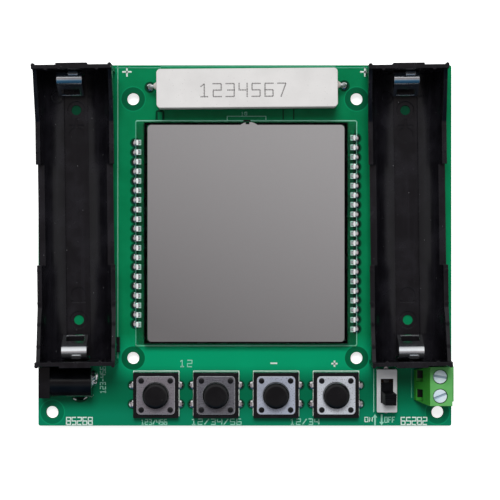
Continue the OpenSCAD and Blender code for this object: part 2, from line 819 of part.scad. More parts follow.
// The tongue stands on the plate, and its lip leans in over the bend
module tongue_outline() {
    rise = 0.3;
    tip = strip_t + lip_l;
    polygon([[0, 0], [strip_t, 0], [strip_t, tongue_h - strip_t], [tip, tongue_h + rise - strip_t],
             [tip - 0.1, tongue_h + rise], [0, tongue_h]]);
}

module contact_leaf(x, s) {
    color("#d3d6d8")
    at_end(x, s) translate([-strip_shift(s), 0, 0]) difference() {
        strip_slab(strip_w) {
            bend_arc(leaf_tilt, 89.5);
            leaf_shank();
        }
        strip_slab(strip_w - 2*window_side) translate(leaf_root) rotate(-90 + leaf_tilt)
            translate([leaf_l - window_l - leaf_bar, -1]) square([window_l, 2]);
    }
}

module leaf_shank() {
    translate(leaf_root) rotate(-90 + leaf_tilt) translate([-0.02, -strip_t/2])
        square([leaf_l + 0.02, strip_t]);
}

// Load resistor

module resistor_case() {
    room = [resistor_l - 2*resistor_wall, resistor_w - 2*resistor_wall];
    color("#dcdad6")
    at_resistor() difference() {
        translate([0, 0, resistor_lift])
            rounded_plate([resistor_l, resistor_w], resistor_corner_r, resistor_h);
        box_on(room, resistor_lift + resistor_h - resistor_wall);
        lead_way(2.4, resistor_l + eps);
    }
}

// A cylinder along the rod's axis
module lead_way(d, l) {
    translate([0, rod_y, rod_z()]) rotate([0, 90, 0]) cylinder(h = l, d = d, center = true);
}

function rod_z() = resistor_lift + resistor_h/2;

module resistor_cement() {
    room = [resistor_l - 2*resistor_wall, resistor_w - 2*resistor_wall];
    color("#c9c6bf")
    at_resistor() difference() {
        union() {
            translate([0, 0, resistor_lift + 0.4])
                box_on([room.x - 2*seat, room.y - 2*seat], resistor_h - resistor_wall - 0.4 - seat);
            lead_way(2.4 - 2*seat, resistor_l);
            for (s = [-1, 1])
                translate([s*resistor_l/2, rod_y, rod_z()]) rotate([0, s*90, 0])
                    cylinder(h = 0.9, d1 = 2.38, d2 = 1.2);
        }
        rod_shape(seat);
        lead_way(lead_d + 2*seat, resistor_l + 4);
    }
}

module resistor_rod() {
    color("#8d8a84")
    at_resistor() difference() {
        rod_shape(0);
        lead_way(lead_d + 2*seat, rod_l + 12);
    }
}

// The wound rod with its two end caps, as one turned shape
module rod_shape(grow) {
    cap_l = 2.6;
    step = rod_l/wire_turns;
    low = rod_d/2 + grow;
    high = low + 0.15;
    turns = [for (i = [0 : wire_turns - 1]) let (a = -rod_l/2 + i*step)
        each [[low, a], [low, a + step/2], [high, a + step/2], [high, a + step]]];
    r = cap_r + grow;
    translate([0, rod_y, rod_z()]) rotate([0, 90, 0]) rotate_extrude($fn = 32) polygon(concat(
        [[0, -rod_l/2 - cap_l - grow], [r, -rod_l/2 - cap_l - grow], [r, -rod_l/2 + grow]], turns,
        [[r, rod_l/2 - grow], [r, rod_l/2 + cap_l + grow], [0, rod_l/2 + cap_l + grow]]));
}

module resistor_leads() {
    elbow_r = 1;
    color("#d9dbdc")
    at_resistor() translate([0, rod_y, 0]) for (s = [-1, 1]) mirror([s == 1 ? 0 : 1, 0, 0]) {
        translate([rod_l/2 + 1, 0, rod_z()]) rotate([0, 90, 0])
            cylinder(h = lead_reach - elbow_r - rod_l/2 - 1, d = lead_d, $fn = 24);
        translate([lead_reach - elbow_r, 0, rod_z() - elbow_r]) rotate([90, 0, 0])
            rotate_extrude(angle = 90, $fn = 24) translate([elbow_r, 0]) circle(d = lead_d);
        translate([lead_reach, 0, -board_t - leg_reach])
            cylinder(h = board_t + leg_reach + rod_z() - elbow_r, d = lead_d, $fn = 24);
    }
}

// Display

module display_front_glass() {
    color("#39413f")
    at_display() box_on([front_glass_w, glass_h], glass_t, front_glass_z);
}

module display_rear_glass() {
    color("#4c5f58")
    at_display() box_on([rear_glass_w, glass_h], glass_t, rear_glass_z);
}

module display_front_film() {
    color("#838180")
    at_display() translate([film_shift.x, film_shift.y, front_film_z]) difference() {
        union() {
            rounded_plate([film_w, film_h], film_corner_r, film_t);
            intersection() {
                translate([bulge_x, film_h/2 + bulge_h - bulge_r, 0])
                    cylinder(h = film_t, r = bulge_r, $fn = 96);
                translate([bulge_x, film_h/2, 0]) box_on([bulge_w, 2*bulge_h], film_t);
            }
        }
        translate([bulge_x - 0.4, film_h/2 + bulge_h, -eps])
            box_on([bulge_notch.x, 2*bulge_notch.y], film_t + 2*eps);
    }
}

module display_rear_film() {
    color("#9b9b98")
    at_display() translate([film_shift.x, film_shift.y, rear_film_z])
        rounded_plate([film_w, film_h], film_corner_r, film_t);
}

module display_seal() {
    color("#101112")
    at_display() {
        translate([0, 0, seal_z]) linear_extrude(seal_t) difference() {
            square([front_glass_w - 2*seal_inset, glass_h - 2*seal_inset], center = true);
            square([front_glass_w - 2*seal_w, glass_h - 2*seal_w], center = true);
        }
        translate([bulge_x - 0.5, glass_h/2, rear_glass_z + 0.2]) intersection() {
            cylinder(h = 2*glass_t + seal_t - 0.4, r = plug_r);
            translate([-2*plug_r, seat, 0]) cube([4*plug_r, plug_proud, 3*glass_t]);
        }
    }
}

// A pin that grips the ledge of the rear glass and goes down through the board
module display_pins(side, count) {
    color("#d5d8da")
    for (leg = display_legs)
        if (sign(leg.x - display_x) == side)
            translate([leg.x, leg.y, board_t]) mirror([side == 1 ? 1 : 0, 0, 0])
                rotate([90, 0, 0]) linear_extrude(clip_w, center = true) clip_outline();
}

module clip_outline() {
    top = seal_z + clip_gap;
    bottom = rear_glass_z - clip_gap;
    polygon([
        [-clip_t/2, -board_t - leg_reach], [clip_t/2, -board_t - leg_reach], [clip_t/2, bottom - clip_t],
        [clip_t/2 + clip_reach, bottom - clip_t], [clip_t/2 + clip_reach, bottom], [clip_t/2, bottom],
        [clip_t/2, top], [clip_t/2 + clip_reach - 0.3, top], [clip_t/2 + clip_reach, top + 0.3],
        [clip_t/2 + clip_reach - 0.15, top + 0.55], [clip_t/2 + clip_reach - 0.5, top + clip_t],
        [-clip_t/2, top + clip_t]]);
}

// Push buttons

module button_base(i) {
    color("#1a1a1c")
    at_button(i) {
        difference() {
            box_on([base_side, base_side], base_h);
            translate([0, 0, cavity_floor]) cylinder(h = base_h, d = cavity_d);
            for (sx = [-1, 1], sy = [-1, 1])
                translate([sx*base_side/2, sy*button_leg_pitch/2, 0])
                    box_on([base_side - 2*tongue_in + 2*seat, button_leg_w + 2*seat],
                           button_leg_t + 2*seat, cavity_floor - button_leg_t - seat);
        }
        for (sx = [-1, 1], sy = [-1, 1]) translate([sx*rivet_pitch/2, sy*rivet_pitch/2, base_h]) rivet();
    }
}

// A plastic post whose end is melted over the cover
module rivet() {
    shank_r = rivet_d/2 - 0.2;
    top = cover_t + rivet_head_h;
    rotate_extrude($fn = 24) polygon([
        [0, -seat], [shank_r, -seat], [shank_r, cover_t + seat], [rivet_d/2, cover_t + seat],
        [rivet_d/2, cover_t + rivet_head_h*0.6], [rivet_d/4, top], [0, top]]);
}

module button_cover(i) {
    color("#9fa1aa")
    at_button(i) translate([0, 0, base_h]) linear_extrude(cover_t) difference() {
        rounded_outline([cover_side, cover_side], 1);
        circle(d = plunger_d + 2*plunger_gap);
        for (sx = [-1, 1], sy = [-1, 1])
            translate([sx*rivet_pitch/2, sy*rivet_pitch/2])
                circle(d = rivet_d - 0.4 + 2*rivet_gap, $fn = 24);
    }
}

module button_plunger(i) {
    edge = [for (a = [0 : 22.5 : 90])
        [plunger_d/2 - plunger_edge_r*(1 - cos(a)), plunger_h - plunger_edge_r*(1 - sin(a))]];
    nub_z = cavity_floor + dome_rise + 2*seat;
    color("#1d1d1f")
    at_button(i) rotate_extrude() polygon(concat(
        [[0, nub_z], [dome_nub_d/2, nub_z], [dome_nub_d/2, flange_z], [flange_d/2, flange_z],
         [flange_d/2, flange_z + flange_h], [plunger_d/2, flange_z + flange_h]],
        edge, [[0, plunger_h]]));
}

// A shallow sprung cap that stands on its rim
module button_dome(i) {
    steps = 6;
    top = [for (k = [0 : steps]) [dome_d/2*(1 - k/steps), cavity_floor + dome_t + dome_bulge(1 - k/steps)]];
    under = [for (k = [steps : -1 : 0]) [max(0, dome_d/2*(1 - k/steps) - 0.02),
                                        cavity_floor + seat + dome_bulge(1 - k/steps)]];
    color("#c8c9c4")
    at_button(i) rotate_extrude() polygon(concat(top, under));
}

function dome_bulge(r) = (dome_rise - dome_t)*(1 - r*r);

// The leg and the tongue of each button terminal
module button_legs() {
    near = button_leg_x - button_leg_t/2;
    far = button_leg_x + button_leg_t/2;
    foot = -board_t - leg_reach;
    color("#d8dadb")
    for (i = [0 : 3]) at_button(i) for (sx = [-1, 1], sy = [-1, 1])
        translate([0, sy*button_leg_pitch/2, 0]) mirror([sx == 1 ? 0 : 1, 0, 0])
            rotate([90, 0, 0]) linear_extrude(button_leg_w, center = true) polygon([
                [tongue_in, cavity_floor - button_leg_t], [near, cavity_floor - button_leg_t],
                [near, foot], [far, foot], [far, cavity_floor], [tongue_in, cavity_floor]]);
}

// Power jack

module jack_housing() {
    color("#131315")
    at_jack() difference() {
        union() {
            translate([0, -jack_front_w/2, 0]) cube([jack_front_l, jack_front_w, jack_h]);
            translate([0, 0, socket_h]) rotate([0, 90, 0]) cylinder(h = jack_l, d = barrel_d);
            translate([0, -barrel_d/2, 0]) cube([jack_l, barrel_d, socket_h]);
        }
        translate([-eps, 0, socket_h]) rotate([0, 90, 0]) cylinder(h = socket_depth + eps, d = socket_d);
        translate([0, 0, socket_h]) rotate([0, 90, 0]) cylinder(h = jack_l + eps, d = pin_root_d + 2*seat);
        translate([jack_l - jack_room - pin_plate_t - seat, -pin_plate_w/2 - seat, -eps])
            cube([pin_plate_t + jack_room + eps, pin_plate_w + 2*seat, socket_h + 1.6 + eps]);
        spring_room();
        shunt_room();
    }
}

// Room for the sleeve leaf to bend down, open to the socket above and to the board below its tail
module spring_room() {
    translate([spring_front - 0.4, -spring_w/2 - jack_room, 1])
        cube([sleeve_tail_x + spring_t - spring_front + 0.6, spring_w + 2*jack_room, 3]);
    translate([sleeve_tail_x - spring_t/2 - seat, -spring_w/2 - jack_room, -eps])
        cube([spring_t + 2*seat, spring_w + 2*jack_room, 2]);
}

module shunt_room() {
    translate([4.4, -spring_w/2 - 0.75, spring_top])
        cube([shunt_leg_x - 4.4 + shunt_w/2 + seat, 1.25, shunt_t + 0.2]);
    translate([shunt_leg_x - shunt_w/2 - seat, -shunt_y - 1, spring_top])
        cube([shunt_w + 2*seat, shunt_y, shunt_t + 0.2]);
    translate([shunt_leg_x - shunt_w/2 - seat, -barrel_d/2 - eps, -eps])
        cube([shunt_w + 2*seat, barrel_d/2 - shunt_y + eps + shunt_t/2 + seat,
              spring_top + shunt_t + 0.2 + eps]);
}

module jack_centre_pin() {
    pin_start = centre_pin_inset;
    plate_x = jack_l - jack_room - pin_plate_t;
    color("#c7c9c8")
    at_jack() {
        translate([0, 0, socket_h]) rotate([0, 90, 0]) rotate_extrude() polygon(concat(
            [[0, pin_start]], [for (a = [0 : 15 : 90])
                [centre_pin_d/2*sin(a), pin_start + centre_pin_d/2*(1 - cos(a))]],
            [[centre_pin_d/2, socket_depth], [pin_root_d/2, socket_depth], [pin_root_d/2, plate_x + seat],
             [0, plate_x + seat]]));
        translate([plate_x, -pin_plate_w/2, 0.2]) cube([pin_plate_t, pin_plate_w, socket_h + 1.2]);
        translate([plate_x, -pin_tail_w/2, -board_t - leg_reach])
            cube([pin_plate_t, pin_tail_w, board_t + leg_reach + 0.4]);
    }
}

// The part of the sleeve spring's bend between two angles, seen from the side
module spring_bend(a0, a1) {
    translate([spring_root(), spring_top - spring_t/2 - spring_bend_r]) intersection() {
        difference() {
            circle(spring_bend_r + spring_t/2);
            circle(spring_bend_r - spring_t/2);
        }
        polygon(concat([[0, 0]], [for (a = [a0, (a0 + a1)/2, a1]) 3*[cos(a), sin(a)]]));
    }
}

// Where the leaf bends down into its tail
function spring_root() = sleeve_tail_x - spring_bend_r;

// The sprung leaf that touches the plug's sleeve, with a bump near its free end
module jack_sleeve_leaf() {
    bump_z = socket_h - socket_d/2 + bump_rise - bump_r - spring_t;
    color("#cfd1cf")
    at_jack() rotate([90, 0, 0]) linear_extrude(spring_w, center = true) {
        translate([spring_front, spring_top - spring_t])
            square([spring_root() + 0.02 - spring_front, spring_t]);
        spring_bend(spring_split + 1, 90.5);
        intersection() {
            difference() {
                translate([bump_x, bump_z]) circle(bump_r + spring_t);
                translate([bump_x, bump_z]) circle(bump_r);
            }
            translate([bump_x - 3*bump_r, spring_top - spring_t + 0.05]) square([6*bump_r, 3*bump_r]);
        }
    }
}

module jack_sleeve_tail() {
    color("#cfd1cf")
    at_jack() {
        rotate([90, 0, 0]) linear_extrude(spring_w, center = true) {
            spring_bend(-0.5, spring_split - 1);
            translate([sleeve_tail_x - spring_t/2, 0.1])
                square([spring_t, spring_top - spring_t/2 - spring_bend_r - 0.08]);
        }
        translate([sleeve_tail_x - spring_t/2, -pin_tail_w/2, -board_t - leg_reach])
            cube([spring_t, pin_tail_w, board_t + leg_reach + 0.2]);
    }
}

// The arm lies on the edge of the sleeve leaf until a plug bends the leaf away from it
module jack_shunt_contact() {
    arm_z = spring_top + slip;
    color("#cfd1cf")
    at_jack() {
        translate([4.6, -spring_w/2 - 0.6, arm_z]) cube([shunt_leg_x - 4.6 + shunt_w/2, 1, shunt_t]);
        translate([shunt_leg_x - shunt_w/2, -shunt_y - shunt_t/2, arm_z])
            cube([shunt_w, shunt_y - spring_w/2 + shunt_t, shunt_t]);
        translate([shunt_leg_x - shunt_w/2, -shunt_y - shunt_t/2, -board_t - leg_reach])
            cube([shunt_w, shunt_t, board_t + leg_reach + arm_z + shunt_t]);
    }
}

// Slide switch

module switch_frame() {
    color("#b9bbbc")
    at_switch() {
        difference() {
            translate([0, 0, switch_lift])
                rounded_plate([frame_w, frame_l], frame_t, frame_h - switch_lift);
            translate([0, 0, switch_lift - eps])
                box_on([frame_w - 2*frame_t, frame_l - 2*frame_t], frame_h - frame_t - switch_lift + eps);
            box_on([slot_w, slot_l], frame_h + eps);
        }
        for (s = [-1, 1]) translate([0, s*(frame_l - frame_t)/2, -board_t - leg_reach])
            box_on([frame_tab_w, frame_t], board_t + leg_reach + switch_lift + 0.5);
    }
}

module switch_base() {
    color("#3a2a1c")
    at_switch() difference() {
        box_on([frame_w - 2*frame_t - 2*seat, frame_l - 2*frame_t - 2*seat], phenol_t, switch_lift);
        for (i = [-1 : 1]) translate([0, i*terminal_step, 0])
            cylinder(h = 3, d = terminal_d + 2*seat, $fn = 24);
    }
}

module switch_terminals() {
    color("#cfd1cf")
    at_switch() for (i = [-1 : 1]) translate([0, i*terminal_step, 0]) {
        translate([0, 0, -board_t - leg_reach])
            cylinder(h = board_t + leg_reach + switch_lift + phenol_t, d = terminal_d, $fn = 24);
        translate([0, 0, switch_lift + phenol_t]) cylinder(h = rivet_h, d = 1.5, $fn = 24);
    }
}

// The carrier runs under the frame, and the ridged handle stands out of its window
module switch_knob() {
    top_z = frame_h - frame_t - slip;
    color("#141416")
    at_switch() {
        translate([0, handle_y, 0])
            box_on([frame_w - 2*frame_t - 2*slip, carrier_l], carrier_t, top_z - carrier_t);
        translate([0, handle_y, top_z - 0.3]) rotate([handle_dip, handle_lean, 0]) difference() {
            box_on([handle_w, handle_l], handle_h - top_z + 0.3);
            for (k = [0 : 3])
                translate([0, (k - 1.5)*ridge_step, handle_h - top_z + 0.1])
                    box_on([slot_w, ridge_step/2], 1);
        }
    }
}

// A folded clip under the carrier that bridges two of the terminals
module switch_wiper() {
    top_z = frame_h - frame_t - slip - carrier_t;
    foot_z = switch_lift + phenol_t + rivet_h + slip;
    color("#cfa860")
    at_switch() translate([0, handle_y, 0])
        rotate([90, 0, 90]) linear_extrude(wiper_w, center = true) polygon([
            [-2, foot_z], [2, foot_z], [2, top_z], [2 - wiper_t, top_z], [2 - wiper_t, foot_z + wiper_t],
            [-2 + wiper_t, foot_z + wiper_t], [-2 + wiper_t, top_z], [-2, top_z]]);
}

// Wire terminal

module terminal_housing() {
    color("#5aa83e")
    difference() {
        union() {
            intersection() {
                translate([block_rear_x(), block_y, board_t]) rotate([90, 0, 0])
                    linear_extrude(block_w, center = true) block_side_outline();
                translate([block_rear_x(), block_y, board_t]) linear_extrude(block_h) block_plan_outline();
            }
            translate([block_rear_x() - seat, block_y - block_w/2 + 1, board_t + 1])
                cube([heel_rib + seat, block_w - 1, block_h - 4]);
        }
        for (s = [-1, 1]) at_way(s) {
            translate([screw_inset, 0, 0]) way_room();
            translate([screw_inset, -entry_w/2, wire_z]) cube([block_depth, entry_w, entry_h]);
            translate([0, entry_w/2, 0]) rotate([90, 0, 0]) linear_extrude(entry_w) polygon([
                [screw_inset + cage_l/2 + 0.6, bar_z - seat], [block_depth, bar_z - seat],
                [block_depth, bar_z + funnel_h*1.5], [block_depth - 1.6, bar_z + funnel_h]]);
            translate([bar_leg_x(), 0, -eps]) box_on([bar_leg_t + 2*seat, bar_leg_w + 2*seat], 1.5 + eps);
            translate([bar_leg_x() - bar_leg_t/2 - seat, -bar_w/2 - seat, 1])
                cube([bar_leg_t + 0.4, bar_w + 2*seat, bar_z + bar_t - 1 + seat]);
        }
    }
}

module block_side_outline() {
    polygon([[-block_depth, 0], [0, 0], [0, block_h], [-block_top, block_h], [-block_depth, 1]]);
}

module block_plan_outline() {
    y = block_w/2;
    polygon([[0, -y], [0, y], [toe_chamfer.x - block_depth, y], [-block_depth, y - toe_chamfer.y],
             [-block_depth, toe_chamfer.y - y], [toe_chamfer.x - block_depth, -y]]);
}

// Around one screw's axis: the room of the cage, open to the board, the thread's hole and the head's well
module way_room() {
    translate([0, 0, -eps]) box_on([cage_l + 2*slip, cage_w + 2*slip], head_z - web_t + eps);
    cylinder(h = block_h, d = screw_d + 2*slip);
    translate([0, 0, head_z - slip]) cylinder(h = block_h, d = screw_head_d + 2*well_gap);
}

module terminal_screw(s) {
    tip_z = bar_z + bar_t + seat;
    color("#b8c4d2")
    at_way(s) translate([screw_inset, 0, 0]) difference() {
        union() {
            translate([0, 0, tip_z]) cylinder(h = head_z - tip_z + seat, d = screw_d);
            translate([0, 0, head_z]) cylinder(h = screw_head_h, d = screw_head_d);
        }
        translate([0, 0, head_z + screw_head_h - screw_slot_depth]) rotate([0, 0, slot_turns[(s + 1)/2]])
            box_on([2*screw_head_d, screw_slot_w], screw_head_h);
    }
}

module clamp_cage(s) {
    color("#c9b27a")
    at_way(s) translate([screw_inset, 0, 0]) difference() {
        box_on([cage_l, cage_w], cage_h, cage_foot);
        translate([0, 0, wire_z]) box_on([2*cage_l, cage_w - 2*cage_wall], cage_h - 2*cage_wall);
        cylinder(h = block_h, d = screw_d + 2*slip);
    }
}

module terminal_bars() {
    color("#cfd1cf")
    for (s = [-1, 1]) at_way(s) {
        start = bar_leg_x() - bar_leg_t/2;
        translate([start, -bar_w/2, bar_z]) cube([screw_inset + cage_l/2 - start, bar_w, bar_t]);
        translate([start, -bar_w/2, 1.2]) cube([bar_leg_t, bar_w, bar_z - 1.2 + bar_t]);
        translate([start, -bar_leg_w/2, -board_t - leg_reach])
            cube([bar_leg_t, bar_leg_w, board_t + leg_reach + 1.3]);
    }
}

// Underside parts: each module draws downwards from the underside of the board

// A moulded body with a round mark at its first leg
module chip_body(at, size) {
    translate([at.x, at.y, -chip_lift - chip_h]) difference() {
        linear_extrude(chip_h) rounded_outline(size, 0.2);
        translate([size.x/2 - 1.1, size.y/2 - 1.1, -eps]) cylinder(h = eps + 0.1, d = 1, $fn = 24);
    }
}

module display_driver() {
    color("#232326") chip_body(driver_at, [driver_side, driver_side]);
}

module controller() {
    color("#232326") chip_body(controller_at, [controller_l, controller_w]);
}

// A row of bent legs along X that leave a chip's side towards +Y
module leg_row(count, side) {
    mid = -chip_lift - chip_h/2;
    knee = chip_leg_out/2;
    for (i = [0 : count - 1])
        translate([(i - (count - 1)/2)*chip_pitch, side, 0]) rotate([90, 0, 90])
            linear_extrude(chip_leg_w, center = true) polygon([
                [seat, mid], [knee, mid], [knee, -chip_leg_t], [chip_leg_out, -chip_leg_t],
                [chip_leg_out, 0], [knee - chip_leg_t, 0], [knee - chip_leg_t, mid + chip_leg_t],
                [seat, mid + chip_leg_t]]);
}

// A leg that steps up from the board to half the height of the body on its +Y side
module flat_leg() {
    rotate([90, 0, 90]) linear_extrude(0.7, center = true) polygon([
        [0, 0], [0.9, 0], [0.9, -transistor_h/2], [1.5 - seat, -transistor_h/2],
        [1.5 - seat, -transistor_h/2 - 0.4], [0.4, -transistor_h/2 - 0.4], [0.4, -0.4], [0, -0.4]]);
}

module chip_legs() {
    color("#cfd1cf") {
        translate(driver_at) for (a = [0 : 90 : 270]) rotate([0, 0, a]) leg_row(driver_legs, driver_side/2);
        translate(controller_at) for (a = [0, 180]) rotate([0, 0, a])
            leg_row(controller_legs, controller_w/2);
        for (s = [-1, 1]) translate([transistors_at.x + s*transistor_pitch/2, transistors_at.y, 0]) {
            translate([0, transistor_w/2 + 0.2, 0]) box_on([transistor_l - 1.4, 2.2], 0.5, -0.5);
            for (i = [-1, 1]) translate([i*transistor_leg_step/2, -transistor_w/2 - 1.5, 0]) flat_leg();
        }
        translate([regulator_at.x, regulator_at.y + regulator_size.y/2 + seat, -0.3])
            for (i = [-1 : 1]) translate([i*regulator_leg_step - 0.25, 0, 0]) cube([0.5, 0.8, 0.3]);
    }
}

module power_transistors() {
    color("#1c1c1e")
    for (s = [-1, 1]) translate([transistors_at.x + s*transistor_pitch/2, transistors_at.y, 0]) difference() {
        box_on([transistor_l, transistor_w], transistor_h, -transistor_h);
        translate([0, transistor_w/2, 0]) box_on([transistor_l - 1.2, 2], 0.6, -0.6 + seat);
    }
}

module voltage_regulator() {
    color("#1c1c1e") translate([regulator_at.x, regulator_at.y, -regulator_size.z])
        box_on(regulator_size, regulator_size.z);
}

module chips_at(places, size) {
    for (p = places) translate([p.x, p.y, 0]) box_on(size, size.z, -size.z);
}

module chip_resistors() {
    color("#26262a") {
        chips_at(resistor_places, resistor_chip);
        chips_at([sense_at], sense_chip);
    }
}

module chip_capacitors() {
    color("#a98b62") chips_at(capacitor_places, capacitor_chip);
}

circuit_board();
solder_joints();
cell_holder(left_holder_x);  // left_cell_holder
cell_holder(right_holder_x);  // right_cell_holder
contact_anchors();
contact_leaf(left_holder_x, 1);  // left_positive_leaf
contact_leaf(left_holder_x, -1);  // left_negative_leaf
contact_leaf(right_holder_x, 1);  // right_positive_leaf
contact_leaf(right_holder_x, -1);  // right_negative_leaf
resistor_case();
resistor_cement();
resistor_rod();
resistor_leads();
display_front_glass();
display_rear_glass();
display_front_film();
display_rear_film();
display_seal();
display_pins(-1);  // display_left_pins
display_pins(1);  // display_right_pins
button_base(0);  // mode_button_base
button_cover(0);  // mode_button_cover
button_plunger(0);  // mode_button_plunger
button_dome(0);  // mode_button_dome
button_base(1);  // set_button_base
button_cover(1);  // set_button_cover
button_plunger(1);  // set_button_plunger
button_dome(1);  // set_button_dome
button_base(2);  // minus_button_base
button_cover(2);  // minus_button_cover
button_plunger(2);  // minus_button_plunger
button_dome(2);  // minus_button_dome
button_base(3);  // plus_button_base
button_cover(3);  // plus_button_cover
button_plunger(3);  // plus_button_plunger
button_dome(3);  // plus_button_dome
button_legs();
jack_housing();
jack_centre_pin();
jack_sleeve_leaf();
jack_sleeve_tail();
jack_shunt_contact();
switch_frame();
switch_base();
switch_knob();
switch_wiper();
switch_terminals();
terminal_housing();
terminal_screw(1);  // upper_terminal_screw
terminal_screw(-1);  // lower_terminal_screw
clamp_cage(1);  // upper_clamp_cage
clamp_cage(-1);  // lower_clamp_cage
terminal_bars();
display_driver();
controller();
chip_legs();
power_transistors();
voltage_regulator();
chip_resistors();
chip_capacitors();
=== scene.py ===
# %% [markdown]
# # Battery capacity tester module
# This lesson dresses a small electronics board that was built as exact solids. The solids hold the sizes and
# the joints, so the script never moves them. It gives each one a material, and it adds the thin things that
# solids are bad at: printed ink, copper tracks, dotted numbers, a lump of solder, and contact springs, each
# one bent sheet.

# %% Load the frame
import bpy, bmesh, math
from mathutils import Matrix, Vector, noise


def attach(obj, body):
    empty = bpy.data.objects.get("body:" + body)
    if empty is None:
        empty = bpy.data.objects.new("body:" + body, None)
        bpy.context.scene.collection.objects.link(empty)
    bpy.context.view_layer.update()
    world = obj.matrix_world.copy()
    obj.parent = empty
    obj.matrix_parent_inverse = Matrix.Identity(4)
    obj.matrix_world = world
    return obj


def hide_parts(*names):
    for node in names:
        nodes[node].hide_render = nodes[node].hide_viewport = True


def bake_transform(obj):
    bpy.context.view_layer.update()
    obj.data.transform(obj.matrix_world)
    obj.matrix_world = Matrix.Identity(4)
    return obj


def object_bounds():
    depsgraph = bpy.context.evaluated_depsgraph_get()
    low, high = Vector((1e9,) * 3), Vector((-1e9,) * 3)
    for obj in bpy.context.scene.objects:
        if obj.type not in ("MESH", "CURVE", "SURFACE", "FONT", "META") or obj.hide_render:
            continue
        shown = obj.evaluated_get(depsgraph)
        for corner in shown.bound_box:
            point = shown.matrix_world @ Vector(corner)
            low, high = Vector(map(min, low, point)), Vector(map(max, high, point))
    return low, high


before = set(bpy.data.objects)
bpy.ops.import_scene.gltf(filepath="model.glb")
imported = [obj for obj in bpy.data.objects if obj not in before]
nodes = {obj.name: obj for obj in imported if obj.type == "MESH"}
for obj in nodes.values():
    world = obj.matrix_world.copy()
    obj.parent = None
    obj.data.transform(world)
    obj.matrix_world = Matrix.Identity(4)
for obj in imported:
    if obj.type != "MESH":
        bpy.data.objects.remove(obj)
cad_box = [list(corner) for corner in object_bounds()]
MM = 0.001
BOARD_TOP = 1.6

# %% [markdown]
# ## The photographer's place
# The photograph looks straight down on the board. How far the tops of the cell holders lean outwards gives
# the distance of the lens, about 69 cm above the board. A long lens at that distance keeps the same lean.

# %% Camera
def place(data):
    """Puts a mesh, curve, lamp or camera in the scene, as an object of the same name."""
    made = bpy.data.objects.new(data.name, data)
    bpy.context.scene.collection.objects.link(made)
    return made


LENS_ABOVE_BOARD = 690
BELOW_LENS = (1.36, -5.72)
FOCAL_PIXELS = 2590.95
PICTURE_PIXELS = 500
camera = place(bpy.data.cameras.new("camera"))
camera.location = (BELOW_LENS[0] * MM, BELOW_LENS[1] * MM, (LENS_ABOVE_BOARD + BOARD_TOP) * MM)
camera.data.sensor_width = 36
camera.data.lens = 36 * FOCAL_PIXELS / PICTURE_PIXELS
camera.data.clip_start = 0.01
camera.data.clip_end = 50
bpy.context.scene.camera = camera
print("lens", round(camera.data.lens, 1), "mm")

# %% [markdown]
# ## Helpers for node trees
# Shader trees and geometry trees are both made of nodes and links. Two small helpers make them short to
# write: one adds a node with its inputs and settings, and one adds a Math node. Two more keep a value within
# a range and blend two colours. Colours are written as they look on a screen, and srgb turns them into the
# linear numbers that Blender's sockets take.

# %% Node helpers
def srgb(code):
    """A colour such as #0a7d4c as the linear colour of a socket."""
    shown = [int(code[i:i + 2], 16) / 255 for i in (1, 3, 5)]
    return [c / 12.92 if c <= 0.04045 else ((c + 0.055) / 1.055) ** 2.4 for c in shown] + [1]


def node(tree, kind, inputs=None, **settings):
    """Adds a node. An input is a number, a colour or another node's output."""
    made = tree.nodes.new(kind)
    for key, value in settings.items():
        setattr(made, key, value)
    for key, value in (inputs or {}).items():
        if isinstance(value, bpy.types.NodeSocket):
            tree.links.new(value, made.inputs[key])
        else:
            made.inputs[key].default_value = value
    return made


def maths(tree, operation, a, b=0.0):
    made = node(tree, "ShaderNodeMath", {0: a, 1: b}, operation=operation)
    return made.outputs[0]


def ramp(tree, value, low, high, to_low=0.0, to_high=1.0):
    """Maps value from low..high to to_low..to_high, and holds it there."""
    made = node(tree, "ShaderNodeMapRange", {"Value": value, "From Min": low, "From Max": high,
                                             "To Min": to_low, "To Max": to_high})
    return made.outputs["Result"]


def blend_colour(tree, share, first, second, how="MIX"):
    made = node(tree, "ShaderNodeMix", data_type="RGBA", blend_type=how)
    for place, value in (("Factor_Float", share), ("A_Color", first), ("B_Color", second)):
        socket = next(s for s in made.inputs if s.identifier == place)
        if isinstance(value, bpy.types.NodeSocket):
            tree.links.new(value, socket)
        else:
            socket.default_value = value
    return next(s for s in made.outputs if s.identifier == "Result_Color")


print("helpers ready")

# %% [markdown]
# ## Effects that several finishes share
# Moulded plastic, plated metal and painted board all show the same few effects: a fine grain, edges that
# catch the light, hairline scratches and specks of dust. Each effect is a shader node group with named
# inputs, built once, and each finish sets its own values. The groups only put out masks, heights and
# normals; the shader itself stays in the material. They all read Object coordinates, in metres.

# %% A group with named sockets
def new_group(name, inputs, outputs):
    tree = bpy.data.node_groups.new(name, "ShaderNodeTree")
    for label, value in inputs.items():
        tree.interface.new_socket(label, in_out="INPUT", socket_type="NodeSocketFloat").default_value = value
    for label, kind in outputs.items():
        tree.interface.new_socket(label, in_out="OUTPUT", socket_type=kind)
    return tree, node(tree, "NodeGroupInput").outputs, node(tree, "NodeGroupOutput").inputs


def object_coordinates(tree):
    return node(tree, "ShaderNodeTexCoord").outputs["Object"]


FLOAT = "NodeSocketFloat"
print("group helper ready")

